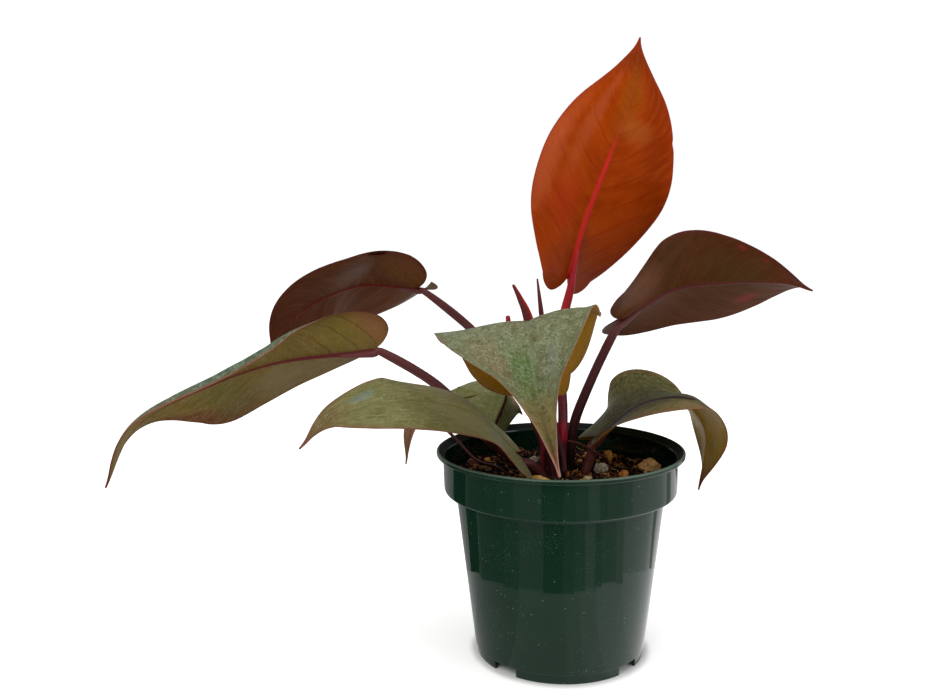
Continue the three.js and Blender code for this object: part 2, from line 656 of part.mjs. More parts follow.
place('crown', crownGeometry(), CROWN.colour, 0.6);
for (const [name, leaf] of Object.entries(LEAVES)) {
  place(`leaf_${name}`, bladeGeometry(leaf), leaf.colour, 0.45);
  place(`stalk_${name}`, stalkGeometry(leaf), leaf.stalkColour, 0.4);
}
for (const [name, sheath] of Object.entries(SHEATHS)) {
  place(name, sheathGeometry(sheath), sheath.colour, 0.5);
}
for (const [name, chunk] of Object.entries(CHUNKS)) {
  place(name, chunkGeometry(chunk), chunk.colour, 0.9);
}

export default plant;
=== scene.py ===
import bpy
import numpy as np
from mathutils import Matrix, Vector


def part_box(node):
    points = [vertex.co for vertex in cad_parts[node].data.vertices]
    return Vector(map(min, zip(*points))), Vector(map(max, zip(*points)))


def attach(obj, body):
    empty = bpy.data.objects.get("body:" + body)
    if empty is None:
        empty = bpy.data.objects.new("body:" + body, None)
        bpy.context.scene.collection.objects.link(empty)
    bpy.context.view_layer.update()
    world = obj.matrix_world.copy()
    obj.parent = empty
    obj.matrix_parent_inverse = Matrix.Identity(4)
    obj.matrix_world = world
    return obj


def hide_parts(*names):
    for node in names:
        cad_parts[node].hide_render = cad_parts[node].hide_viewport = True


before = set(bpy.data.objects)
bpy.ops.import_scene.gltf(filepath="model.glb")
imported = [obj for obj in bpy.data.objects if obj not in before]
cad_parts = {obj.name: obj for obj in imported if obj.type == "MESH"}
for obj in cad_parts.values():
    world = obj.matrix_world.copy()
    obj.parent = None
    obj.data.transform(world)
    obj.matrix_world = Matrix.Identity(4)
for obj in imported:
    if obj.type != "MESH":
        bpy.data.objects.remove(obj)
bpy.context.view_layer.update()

mm = 0.001  # shapes are worked out in millimetres and put into the meshes in metres

# Camera: where the plant was photographed from

shot = {
    "place": (-43.3, -436.8, 203.6),  # mm
    "focal": 950, "width": 933,       # focal length and width of the picture in pixels
    "sensor": 36,                     # mm
    "pitch": 7.67,                    # degrees below the horizon
    "roll": -0.63,
}


def hold(name, data):
    # a mesh, light or camera, put in the scene as an object
    holder = bpy.data.objects.new(name, data)
    bpy.context.scene.collection.objects.link(holder)
    return holder


def aimCamera():
    # Looks towards +y, dipped by the pitch, then turned about the line of sight by the roll.
    camera = bpy.data.cameras.new("shotCamera")
    camera.sensor_width = shot["sensor"]
    camera.lens = shot["sensor"] * shot["focal"] / shot["width"]
    camera.clip_start, camera.clip_end = 0.02, 30
    pitch, roll = np.radians([shot["pitch"], shot["roll"]])
    ahead = np.array([0, np.cos(pitch), -np.sin(pitch)])
    right = np.array([1, 0, 0])
    up = np.cross(right, ahead)
    right, up = np.cos(roll) * right + np.sin(roll) * up, np.cos(roll) * up - np.sin(roll) * right
    turn = np.eye(4)
    turn[:3, 0], turn[:3, 1], turn[:3, 2] = right, up, -ahead
    turn[:3, 3] = np.array(shot["place"]) * mm
    holder = hold("shotCamera", camera)
    holder.matrix_world = Matrix(turn.tolist())
    bpy.context.scene.camera = holder


aimCamera()
print("camera set")

# Shapes: smooth paths, blades, tubes and lumps as whole arrays


def through(stations, share):
    # Cubic through evenly spaced stations: at each one its slope is half the step between the
    # stations beside it, and past both ends the last step is repeated.
    stations = np.asarray(stations, float)
    flat = stations.ndim == 1
    stations = stations.reshape(len(stations), -1)
    padded = np.vstack([2 * stations[0] - stations[1], stations, 2 * stations[-1] - stations[-2]])
    place = np.clip(np.asarray(share, float), 0, 1) * (len(stations) - 1)
    i = np.minimum(place.astype(int), len(stations) - 2)
    w = (place - i)[..., None]
    a, b, c, d = padded[i], padded[i + 1], padded[i + 2], padded[i + 3]
    m0, m1 = (c - a) / 2, (d - b) / 2
    out = (((2 * b - 2 * c + m0 + m1) * w + 3 * c - 3 * b - 2 * m0 - m1) * w + m0) * w + b
    return out[..., 0] if flat else out


def onceRound(count):
    # even angles from 0, the last one step short of a full turn
    return np.linspace(0, 2 * np.pi, count, endpoint=False)


def unit(vectors):
    # each vector divided by its length
    return vectors / np.linalg.norm(vectors, axis=-1, keepdims=True)


def steps(points, facing, count, fineCount=481):
    # Even steps along a smooth path: place, heading, and a facing carried on without twist.
    fine = through(points, np.linspace(0, 1, fineCount))
    run = np.concatenate([[0], np.cumsum(np.linalg.norm(np.diff(fine, axis=0), axis=1))])
    at = np.linspace(0, run[-1], count)
    place = np.stack([np.interp(at, run, fine[:, i]) for i in range(3)], 1)
    heading = unit(np.vstack([place[1] - place[0], place[2:] - place[:-2], place[-1] - place[-2]]))
    facing, carried = np.array(facing, float), []
    for ahead in heading:
        facing = unit(facing - ahead * (facing @ ahead))
        carried.append(facing)
    return place, heading, np.array(carried), run[-1]


def lumps(place, size, seed):
    # Value noise, -1 to 1: a draw at each corner of cubes of this size, joined by an eased blend.
    # The draw is the corner's whole numbers and the seed, multiplied by large odd numbers and mixed.
    cell = np.floor(place / size).astype(np.int64)
    part = place / size - cell
    ease = part * part * (3 - 2 * part)
    total = np.zeros(place.shape[:-1])
    for corner in np.ndindex(2, 2, 2):
        at = cell + np.array(corner)
        mixed = np.bitwise_xor.reduce(at * [73856093, 19349663, 83492791], axis=-1) ^ (seed * 265443576)
        mixed = ((mixed & 0xFFFFFFFF) * 1274126177) & 0xFFFFFFFF
        mixed = ((mixed ^ (mixed >> 15)) * 668265263) & 0xFFFFFFFF
        drawn = ((mixed >> 8) & 0xFFFF) / 32767.5 - 1
        weight = np.prod(np.where(np.array(corner) == 1, ease, 1 - ease), axis=-1)
        total += drawn * weight
    return total


def eased(low, high, value):
    # 0 below low, 1 above high, and a smooth rise between them
    share = np.clip((value - low) / (high - low), 0, 1)
    return share * share * (3 - 2 * share)


def makeMesh(name, points, faces, values=None, plane=None):
    # Points in mm; values are floats kept at each point, plane a flat pair for the UV map.
    mesh = bpy.data.meshes.new(name)
    mesh.from_pydata((np.asarray(points) * mm).tolist(), [], [list(f) for f in faces])
    for key, numbers in (values or {}).items():
        kept = mesh.attributes.new(key, "FLOAT", "POINT")
        kept.data.foreach_set("value", np.asarray(numbers, np.float32).ravel())
    if plane is not None:
        corner = np.empty(len(mesh.loops), int)
        mesh.loops.foreach_get("vertex_index", corner)
        layer = mesh.uv_layers.new(name="plane")
        layer.data.foreach_set("uv", np.asarray(plane, np.float32)[corner].ravel())
    mesh.polygons.foreach_set("use_smooth", np.ones(len(mesh.polygons), bool))
    mesh.validate()
    mesh.update()
    return hold(name, mesh)


def gridFaces(rows, ring, start=0):
    # Quads between rows of a closed ring, facing out where the ring turns left about the rows.
    i, j = np.meshgrid(np.arange(rows - 1), np.arange(ring), indexing="ij")
    a, b = i * ring + j, i * ring + (j + 1) % ring
    return (np.stack([a, b, b + ring, a + ring], -1).reshape(-1, 4) + start).tolist()


def capFaces(first, pole, ring, flip):
    # Triangles from a pole to a ring of points
    j = np.arange(ring)
    a, b = first + j, first + (j + 1) % ring
    order = [b, a] if flip else [a, b]
    return np.stack([*order, np.full(ring, pole)], -1).tolist()


def closedFaces(rows, ring):
    # Rows of a closed ring with a pole at each end; the two poles are the last two points.
    faces = gridFaces(rows, ring) + capFaces(0, rows * ring, ring, flip=True)
    return faces + capFaces((rows - 1) * ring, rows * ring + 1, ring, flip=False)


def give(piece, finish, node, slot):
    # finish: a material; node: the solid that the piece stands for, or none
    piece.data.materials.append(finish)
    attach(piece, "root")
    if node:
        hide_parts(node)


# Finishes: sockets as numbers, and one method for every node


class Wire:
    # A socket in an expression: each operator adds a Math node.
    def __init__(self, finish, socket):
        self.finish, self.socket = finish, socket

    def maths(self, operation, *values):
        return self.finish.node("ShaderNodeMath", {"operation": operation}, dict(enumerate(values)))

    def __add__(self, other):
        return self.maths("ADD", self, other)

    def __sub__(self, other):
        return self.maths("SUBTRACT", self, other)

    def __rsub__(self, other):
        return self.maths("SUBTRACT", other, self)

    def __mul__(self, other):
        return self.maths("MULTIPLY", self, other)

    def __truediv__(self, other):
        return self.maths("DIVIDE", self, other)

    def __pow__(self, other):
        return self.maths("POWER", self, other)

    def __abs__(self):
        return self.maths("ABSOLUTE", self)

    __radd__, __rmul__ = __add__, __mul__


def tint(red, green, blue):
    # A colour as a screen shows it, 0 to 255, turned to light
    part = np.array([red, green, blue]) / 255
    light = np.where(part <= 0.04045, part / 12.92, ((part + 0.055) / 1.055) ** 2.4)
    return (*light.tolist(), 1)


class Finish:
    def __init__(self, name, kind="materials"):
        self.owner = getattr(bpy.data, kind).new(name)
        self.owner.use_nodes = True
        self.tree = self.owner.node_tree
        self.tree.nodes.clear()
        self.kept = {}

    def node(self, kind, settings=None, values=None, out=0):
        made = self.tree.nodes.new(kind)
        for key, value in (settings or {}).items():
            setattr(made, key, value)
        for key, value in (values or {}).items():
            if isinstance(value, Wire):
                self.tree.links.new(value.socket, made.inputs[key])
            else:
                made.inputs[key].default_value = value
        return Wire(self, made.outputs[out])

    def once(self, key, kind, settings, out):
        # a node that all of the finish shares
        if key not in self.kept:
            self.kept[key] = self.node(kind, settings, out=out)
        return self.kept[key]

    def read(self, name):
        # a number kept at the piece's points
        return self.once(name, "ShaderNodeAttribute", {"attribute_name": name}, "Fac")

    def place(self):
        # where the point is on the object, in metres
        return self.once("place", "ShaderNodeTexCoord", {}, "Object")

    def plane(self):
        # where the point is on the blade laid flat, 1 = 100 mm
        return self.once("plane", "ShaderNodeUVMap", {"uv_map": "plane"}, 0)

    def axes(self, letters):
        return (self.node("ShaderNodeSeparateXYZ", {}, {0: self.place()}, out=axis) for axis in letters)

    def rise(self, value, low, high, first=0, last=1):
        settings = {"interpolation_type": "SMOOTHSTEP", "clamp": True}
        return self.node("ShaderNodeMapRange", settings, {0: value, 1: low, 2: high, 3: first, 4: last})

    def fall(self, value, low, high):
        return self.rise(value, low, high, 1, 0)

    def noise(self, where, scale, detail=2, rough=0.5, warp=0):
        values = {"Vector": where, "Scale": scale, "Detail": detail, "Roughness": rough, "Distortion": warp}
        return self.node("ShaderNodeTexNoise", {}, values, out="Fac")

    def cells(self, where, scale, feature="F1", out="Distance"):
        values = {"Vector": where, "Scale": scale}
        return self.node("ShaderNodeTexVoronoi", {"feature": feature}, values, out=out)

    def ramp(self, tones, share):
        colour = self.node("ShaderNodeValToRGB", {}, {0: share})
        stops = colour.socket.node.color_ramp.elements
        while len(stops) < len(tones):
            stops.new(0.5)
        for stop, (place, tone) in zip(stops, tones):
            stop.position, stop.color = place, tint(*tone)
        return colour

    def vector(self, operation, values):
        return self.node("ShaderNodeVectorMath", {"operation": operation}, values)

    def bend(self, where, scale, amount):
        # the same place pushed about by noise
        colour = self.node("ShaderNodeTexNoise", {}, {"Vector": where, "Scale": scale}, out="Color")
        centred = self.vector("SUBTRACT", {0: colour, 1: (0.5, 0.5, 0.5)})
        return self.vector("ADD", {0: where, 1: self.vector("SCALE", {0: centred, "Scale": amount})})

    def point(self, x, y, z=0):
        return self.node("ShaderNodeCombineXYZ", {}, {0: x, 1: y, 2: z})

    def stretch(self, where, factors):
        return self.vector("MULTIPLY", {0: where, 1: factors})

    def flecks(self, near, low, high, cloud, first, last):
        # marks where near is small, kept only inside the clouds
        return self.fall(near, low, high) * self.rise(cloud, first, last)

    def mix(self, share, first, second):
        values = {0: share, 6: first, 7: second}
        return self.node("ShaderNodeMix", {"data_type": "RGBA", "clamp_factor": True}, values, out=2)

    def coat(self, colour, tone, share):
        return self.mix(share, colour, tint(*tone))

    def bump(self, height, strength, depth):
        return self.node("ShaderNodeBump", {}, {"Strength": strength, "Distance": depth, "Height": height})

    def end(self, shader, kind):
        self.tree.links.new(shader.socket, self.tree.nodes.new(kind).inputs["Surface"])
        return self.owner

    def close(self, **sockets):
        values = {key.replace("_", " "): value for key, value in sockets.items()}
        return self.end(self.node("ShaderNodeBsdfPrincipled", {}, values), "ShaderNodeOutputMaterial")


# Pot: a round nursery pot, turned from one outline, with four notches and drain holes at the foot

pot = {
    "sides": 256,
    "corner": 5,            # steps round each rounded corner
    "sharp": 32,            # degrees between faces that meet in an edge
    "notches": (46, 136, 226, 316),  # degrees from the front, going round to the right
    "notchWidth": 12.6, "notchReach": 8, "notchHeight": 3.9, "notchRadius": 40.4,
    "drainWidth": 5, "drainReach": 5, "drainHeight": 7.4, "drainRadius": 36.2,
    "green": (5, 34, 20), "paleGreen": (14, 44, 28), "dust": (116, 134, 122),
    "lipFrom": 0.0951, "rimFrom": 0.0566, "rimTop": 0.0972,  # places in metres
    # painted shade inside the lip, and a painted highlight along the top of the rim
    "lipPaintedShade": (2, 12, 8), "rimPaintedHighlight": (96, 116, 100),
    "rough": 0.025, "lipRough": (0.9, 0.06), "specks": 0.55,  # roughness inside the lip and on its rim
}

# radius, height and corner radius in mm, from the middle of the foot up the outside and down inside
potOutline = [
    (22, 0, 0.6), (24.5, 4.2, 0.8), (38, 4.2, 0.6), (38, 0, 0.3), (39.6, 0, 0.5), (39.8, 4.1, 0.25),
    (40.4, 4.4, 0.5), (48.8, 76.4, 0.5), (49.4, 77.6, 0.4), (53.3, 78.4, 0.6), (54.3, 79.2, 0.5),
    (54.5, 80.8, 0.5), (54.9, 95.2, 0.4), (57.4, 95.6, 0.4), (57.9, 96.2, 0.35), (57.9, 97.5, 0.4),
    (57.3, 98, 0.35), (56.7, 98, 0.3), (53.7, 95.1, 0.9), (53, 82, 0.8), (48.5, 79.2, 0.8),
    (47.3, 77, 0.8), (38.9, 7, 0.8), (38.1, 6.2, 0.8), (24.5, 6.2, 0.8), (22, 1.8, 0.8),
]


def roundedOutline(outline, count):
    # Each corner is swapped for a curve pulled towards it, from a point on one side to one on the other.
    at = np.array(outline, float)
    corner = at[1:-1, :2]
    before, after = at[:-2, :2] - corner, at[2:, :2] - corner
    reachBefore, reachAfter = np.linalg.norm(before, axis=1), np.linalg.norm(after, axis=1)
    cut = np.minimum(at[1:-1, 2], 0.45 * np.minimum(reachBefore, reachAfter))[:, None]
    first = corner + before / reachBefore[:, None] * cut
    last = corner + after / reachAfter[:, None] * cut
    t = np.linspace(0, 1, count)[None, :, None]
    curve = (1 - t) ** 2 * first[:, None] + 2 * t * (1 - t) * corner[:, None] + t ** 2 * last[:, None]
    return np.vstack([at[:1, :2], curve.reshape(-1, 2), at[-1:, :2]])


def boxCutter(name, angle, reach, width, height, radius):
    # A box that straddles the wall at this angle, cutting up to this height
    corner = np.array([[x, y, z] for x in (-reach / 2, reach / 2) for y in (-width / 2, width / 2)
                       for z in (-height, height)])
    corner[:, 0] += radius
    turn = np.radians(angle)
    spin = np.array([[np.cos(turn), -np.sin(turn), 0], [np.sin(turn), np.cos(turn), 0], [0, 0, 1]])
    faces = [(0, 1, 3, 2), (4, 6, 7, 5), (0, 4, 5, 1), (2, 3, 7, 6), (0, 2, 6, 4), (1, 5, 7, 3)]
    return makeMesh(name, corner @ spin.T, faces)


def makePot():
    # The outline is turned about the upright axis: x = radius cos, y = radius sin. Boxes then cut the
    # notches and drain holes.
    outline = roundedOutline(potOutline, pot["corner"])
    angle = onceRound(pot["sides"])
    radius, height = outline[:, :1], outline[:, 1:]
    grid = np.stack([radius * np.cos(angle), radius * np.sin(angle), height + 0 * angle], -1)
    rows, ring = grid.shape[:2]
    points = np.vstack([grid.reshape(-1, 3), [[0, 0, height[0, 0]], [0, 0, height[-1, 0]]]])
    piece = makeMesh("nurseryPot", points, closedFaces(rows, ring))
    cutters = []
    for i, turn in enumerate(pot["notches"]):
        for kind in ("notch", "drain"):
            sizes = [pot[kind + part] for part in ("Reach", "Width", "Height", "Radius")]
            cutters.append(boxCutter(f"{kind}{i}", turn - 90, *sizes))
    for cutter in cutters:
        cut = piece.modifiers.new(cutter.name, "BOOLEAN")
        cut.operation, cut.solver, cut.object = "DIFFERENCE", "EXACT", cutter
    shaped = bpy.data.meshes.new_from_object(piece.evaluated_get(bpy.context.evaluated_depsgraph_get()))
    piece.modifiers.clear()
    old, piece.data = piece.data, shaped
    bpy.data.meshes.remove(old)
    for cutter in cutters:
        bpy.data.objects.remove(cutter)
    piece.data.polygons.foreach_set("use_smooth", np.ones(len(piece.data.polygons), bool))
    piece.data.set_sharp_from_angle(angle=np.radians(pot["sharp"]))
    return piece


def potFinish():
    # glossy green with dust dots, small rings, fine dust and scratches; dull inside the lip, which is
    # darkened there as painted shade, and a painted highlight along the top of the rim
    f = Finish("potPlastic")
    where = f.place()
    cloud = f.noise(where, 38, 3, 0.6)
    keep = f.node("ShaderNodeSeparateColor", {}, {"Color": f.cells(where, 620, out="Color")})
    dots = f.flecks(f.cells(where, 620), 0.1, 0.22, f.noise(where, 90), 0.4, 0.6) * f.rise(keep, 0.7, 0.95)
    rings = f.flecks(abs(f.cells(where, 170) - 0.14), 0.01, 0.04, f.noise(where, 70), 0.62, 0.7)
    fine = f.flecks(f.cells(where, 1500), 0.1, 0.24, f.noise(where, 60, 3), 0.42, 0.66)
    marks = f.rise(dots + rings * 0.35 + fine * 0.6, 0, 1)
    scratch = f.noise(f.stretch(where, (900, 900, 40)), 1, 3, 0.6)
    colour = f.mix(f.rise(cloud, 0.35, 0.7) * 0.25, tint(*pot["green"]), tint(*pot["paleGreen"]))
    colour = f.coat(colour, pot["dust"], marks * pot["specks"])
    x, y, z = f.axes("XYZ")
    lip = f.rise(z, pot["lipFrom"], pot["lipFrom"] + 0.0006)
    outer = f.rise((x * x + y * y) ** 0.5, pot["rimFrom"], pot["rimFrom"] + 0.0006)
    inside, rim = lip * (1 - outer), lip * outer
    top = f.rise(z, pot["rimTop"], pot["rimTop"] + 0.0004) * rim  # a painted highlight: a thin light line along the top
    # painted shade: the inside of the lip is darkened
    colour = f.coat(colour, pot["lipPaintedShade"], inside * 0.85)
    # painted highlight along the top of the rim
    colour = f.coat(colour, pot["rimPaintedHighlight"], top * 0.6)
    rough = pot["rough"] + pot["lipRough"][0] * inside + pot["lipRough"][1] * rim + top * 0.4
    rough = rough + 0.02 * cloud + 0.22 * marks + 0.02 * scratch
    normal = f.bump(0.5 * scratch + 0.8 * marks + 0.5 * cloud, 0.1, 0.0002)
    return f.close(Base_Color=colour, Roughness=rough, Normal=normal, IOR=1.46)


give(makePot(), potFinish(), "pot", "pot_plastic")
print("pot made")

# Potting mix: a lumpy bed, and crumbs, bark, pumice and fibres scattered on it

bed = {
    "level": 84, "swell": 1.1, "radius": 52.3, "rings": 105, "spokes": 210,
    "lumps": [(1.1, 5, 3), (0.75, 1.7, 5), (0.35, 0.8, 9)],  # height, size and seed
    "wall": [(79.5, 48.6), (76, 46.9), (9, 38.2), (6.8, 37.2)],  # height and radius, down to the floor
    "dark": (11, 7, 5), "brown": (34, 20, 12), "fleck": (120, 78, 40),
}


def bedHeight(x, y):
    # The same broad swell as the solid bed: two crossed waves about the level.
    wave = np.sin(x * 0.19 + 1.3) * np.cos(y * 0.23 - 0.4)
    lump = np.sin(x * 0.47 - y * 0.31) * np.sin(y * 0.53 + 0.9)
    return bed["level"] + bed["swell"] * (0.6 * wave + 0.5 * lump)


def makeBed():
    # Rings out from the middle, then down the wall to the floor; height = swell + three sizes of lumps.
    share = np.linspace(0.004, 1, bed["rings"])[:, None] ** 0.9
    angle = onceRound(bed["spokes"])
    circle = np.stack([np.cos(angle), np.sin(angle)], -1)
    x, y = np.moveaxis(share[..., None] * bed["radius"] * circle, -1, 0)
    flat = np.stack([x, y, 0 * x], -1)
    rough = sum(height * lumps(flat, size, seed) for height, size, seed in bed["lumps"])
    top = np.stack([x, y, bedHeight(x, y) + rough * (1 - 0.6 * share ** 6)], -1)
    wall = [np.column_stack([radius * circle, 0 * angle + height]) for height, radius in bed["wall"]]
    grid = np.concatenate([top, wall])[::-1]
    middle = [[0, 0, bed["wall"][-1][0]], [0, 0, top[0, :, 2].mean()]]
    return makeMesh("mixBed", np.vstack([grid.reshape(-1, 3), middle]), closedFaces(*grid.shape[:2]))


def bedFinish():
    # dark grain, brown in patches, with pale flecks
    f = Finish("mixDark")
    where = f.place()
    grain, patch = f.noise(where, 900, 4, 0.7), f.noise(where, 170, 3, 0.6)
    pale = f.flecks(f.cells(where, 800), 0.05, 0.14, f.noise(where, 240), 0.55, 0.65)
    colour = f.coat(tint(*bed["dark"]), bed["brown"], f.rise(grain, 0.4, 0.7) * f.rise(patch, 0.35, 0.65))
    colour = f.coat(colour, bed["fleck"], pale * 0.5)
    return f.close(Base_Color=colour, Roughness=0.82 + 0.15 * grain, Specular_IOR_Level=0.12,
                   Normal=f.bump(grain + patch, 0.8, 0.0009))


give(makeBed(), bedFinish(), "potting_mix", "potting_mix")


def lumpShape(rounds):
    # A ball of even triangles: an eight-sided solid whose edges are halved a number of times.
    points = np.array([[1, 0, 0], [-1, 0, 0], [0, 1, 0], [0, -1, 0], [0, 0, 1], [0, 0, -1]], float)
    faces = np.array([[0, 2, 4], [2, 1, 4], [1, 3, 4], [3, 0, 4], [2, 0, 5], [1, 2, 5], [3, 1, 5], [0, 3, 5]])
    for _ in range(rounds):
        edge = np.sort(np.concatenate([faces[:, [0, 1]], faces[:, [1, 2]], faces[:, [2, 0]]]), axis=1)
        kept, back = np.unique(edge, axis=0, return_inverse=True)
        back = back.reshape(3, -1) + len(points)
        points = np.vstack([points, points[kept].mean(1)])
        a, b, c = faces.T
        ab, bc, ca = back
        parts = (a, ab, ca), (ab, b, bc), (ca, bc, c), (ab, bc, ca)
        faces = np.concatenate([np.stack(part, 1) for part in parts])
    return unit(points), faces


def turns(rng, count):
    # Random turns, as one 3 by 3 array each
    q = unit(rng.normal(size=(count, 4)))
    w, x, y, z = q.T
    return np.stack([
        1 - 2 * (y * y + z * z), 2 * (x * y - z * w), 2 * (x * z + y * w),
        2 * (x * y + z * w), 1 - 2 * (x * x + z * z), 2 * (y * z - x * w),
        2 * (x * z - y * w), 2 * (y * z + x * w), 1 - 2 * (x * x + y * y),
    ], 1).reshape(-1, 3, 3)


def scatter(name, look):
    # Copies of one small lump, each stretched, dented, turned and set into the bed by its own draw.
    rng, count = np.random.default_rng(look["seed"]), look["count"]
    ball, faces = lumpShape(1)
    reach = look["reach"] * np.sqrt(rng.uniform(0, 1, count))
    angle = rng.uniform(0, 2 * np.pi, count)
    x, y = reach * np.cos(angle), reach * np.sin(angle)
    low, high = look["size"]
    size = low + (high - low) * rng.uniform(0, 1, count) ** 2.2  # more small ones than large
    shape = rng.uniform(look["flat"], 1, (count, 3)) * size[:, None]
    dent = rng.uniform(0.72, 1.12, (count, len(ball), 1))
    points = ball[None] * dent * shape[:, None]
    points = np.einsum("cij,cpj->cpi", turns(rng, count), points)
    z = bedHeight(x, y) + size * look["lift"] + 0.5
    points += np.stack([x, y, z], -1)[:, None]
    corners = faces[None] + (np.arange(count) * len(ball))[:, None, None]
    tone = np.repeat(rng.uniform(0, 1, count), len(ball))
    return makeMesh(name, points.reshape(-1, 3), corners.reshape(-1, 3).tolist(), {"tone": tone})


def scatterFinish(name, look):
    # one tone for each bit, shaded by grain
    f = Finish(name)
    grain = f.noise(f.place(), 1500, 3, 0.7)
    colour = f.coat(f.ramp(look["tones"], f.read("tone")), look["shade"], f.rise(grain, 0.35, 0.75) * 0.55)
    return f.close(Base_Color=colour, Roughness=0.75 + 0.2 * grain, Specular_IOR_Level=0.2,
                   Normal=f.bump(grain, 0.7, 0.0004))


# size and reach in mm; lift and flat as shares of the size; tones: share of the bits and the colour there
bits = {
    "mixCrumbs": {
        "seed": 11, "count": 1500, "reach": 51, "size": (0.45, 1.9), "flat": 0.6, "lift": 0.1,
        "tones": [(0, (10, 6, 5)), (0.6, (24, 14, 9)), (0.88, (58, 32, 16)), (1, (104, 62, 28))],
        "shade": (12, 8, 6), "slot": "potting_mix",
    },
    "barkBits": {
        "seed": 23, "count": 480, "reach": 50, "size": (0.5, 2.2), "flat": 0.35, "lift": 0.25,
        "tones": [(0, (110, 48, 14)), (0.4, (176, 98, 28)), (0.75, (206, 144, 66)), (1, (220, 178, 116))],
        "shade": (70, 34, 12), "slot": "bark_tan",
    },
    "pumiceBits": {
        "seed": 37, "count": 70, "reach": 50, "size": (0.5, 1.7), "flat": 0.6, "lift": 0.15,
        "tones": [(0, (96, 84, 62)), (0.6, (132, 118, 90)), (1, (172, 160, 134))],
        "shade": (60, 48, 34), "slot": "pumice",
    },
}
for name, look in bits.items():
    give(scatter(name, look), scatterFinish(name, look), None, look["slot"])

fibres = {
    "seed": 51, "count": 260, "reach": 48, "wall": 50.5, "length": (3, 10), "width": 0.15,
    "tones": [(0, (56, 26, 14)), (0.6, (128, 72, 36)), (1, (196, 146, 88))], "shade": (40, 20, 12),
}


def makeFibres():
    # Each fibre is a bent line of seven points with a five-sided ring at each, thinner at both ends.
    rng, count = np.random.default_rng(fibres["seed"]), fibres["count"]
    rings, sides = 7, 5
    reach = fibres["reach"] * np.sqrt(rng.uniform(0, 1, count))[:, None]
    angle, turn = rng.uniform(0, 2 * np.pi, (2, count, 1))
    length = rng.uniform(*fibres["length"], count)[:, None]
    t = np.linspace(-0.5, 0.5, rings)
    bow = rng.uniform(-0.5, 0.5, count)[:, None] * length * (0.25 - t ** 2) * 2
    x = reach * np.cos(angle) + np.cos(turn) * t * length - np.sin(turn) * bow
    y = reach * np.sin(angle) + np.sin(turn) * t * length + np.cos(turn) * bow
    lift = rng.uniform(0.2, 1.5, count)[:, None] + rng.uniform(-1.2, 1.8, count)[:, None] * (t + 0.5)
    pull = np.minimum(1, fibres["wall"] / np.maximum(np.hypot(x, y), 1e-6))  # none reaches past the wall
    line = np.stack([x * pull, y * pull, bedHeight(x * pull, y * pull) + 0.9 + lift], -1)
    heading = unit(np.gradient(line, axis=1))
    side = unit(np.cross(heading, [0, 0, 1]))
    over = np.cross(side, heading)
    around = onceRound(sides)
    thin = (1.15 - 3.4 * t ** 2)[None, :, None, None]
    thick = fibres["width"] * thin * rng.uniform(0.7, 1.8, (count, 1, 1, 1))
    ring = side[:, :, None] * np.cos(around)[:, None] + over[:, :, None] * np.sin(around)[:, None]
    points = line[:, :, None] + thick * ring
    faces = []
    for first in range(0, count * rings * sides, rings * sides):
        low, high = first + sides, first + (rings - 1) * sides
        faces += [*gridFaces(rings, sides, first), [*range(first, low)][::-1], [*range(high, high + sides)]]
    tone = np.repeat(rng.uniform(0, 1, count), rings * sides)
    return makeMesh("mixFibres", points.reshape(-1, 3), faces, {"tone": tone})


give(makeFibres(), scatterFinish("fibreStraw", fibres), None, "potting_mix")
print("potting mix made")

# Loose pieces big enough to be solids of their own: bark chips and pumice

# tones: main, pale and dark; slot: where it isn't named as the chip is
chips = {
    "bark_tan": {"seed": 3, "tones": ((190, 136, 74), (214, 170, 110), (104, 60, 28)), "pits": 0.6,
                 "dents": 1.7},
    "bark_front": {"seed": 9, "tones": ((206, 158, 76), (226, 186, 112), (140, 92, 40)), "pits": 0.3,
                   "slot": "bark_tan"},
    "bark_orange": {"seed": 5, "tones": ((202, 122, 32), (226, 164, 70), (96, 46, 14)), "pits": 0.5},
    "bark_small": {"seed": 7, "tones": ((196, 112, 38), (220, 154, 76), (92, 46, 18)), "pits": 0.5,
                   "slot": "bark_orange"},
    "bark_red": {"seed": 11, "tones": ((98, 44, 32), (132, 70, 50), (60, 28, 20)), "pits": 0.3},
    "pumice_right": {"seed": 13, "tones": ((150, 138, 116), (202, 192, 170), (64, 46, 30)), "pits": 0.95,
                     "dents": 3.4, "slot": "pumice"},
    "pumice_back": {"seed": 15, "tones": ((132, 124, 104), (172, 164, 144), (60, 48, 36)), "pits": 0.9,
                    "dents": 2, "slot": "pumice"},
    "pumice_front": {"seed": 17, "tones": ((168, 154, 110), (200, 186, 144), (96, 76, 46)), "pits": 0.7,
                     "slot": "pumice"},
}


def makeChip(node, look):
    # A ball stretched to the solid's box; its reach = 0.93 + broad noise flattened to facets + two
    # finer sizes of noise.
    low, high = (np.array(v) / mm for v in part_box(node))
    middle, half = (low + high) / 2, (high - low) / 2
    ball, faces = lumpShape(5)
    seed = look["seed"]
    facet = np.tanh(2.2 * lumps(ball + 9, 0.75, seed)) * 0.13
    grain = 0.07 * lumps(ball + 9, 0.28, seed + 1) + 0.035 * lumps(ball + 9, 0.12, seed + 2)
    reach = np.clip(0.93 + facet + grain * look.get("dents", 1), 0.6, 1.1)
    return makeMesh(node.replace("_", "-") + "-chip", middle + ball * reach[:, None] * half, faces.tolist())


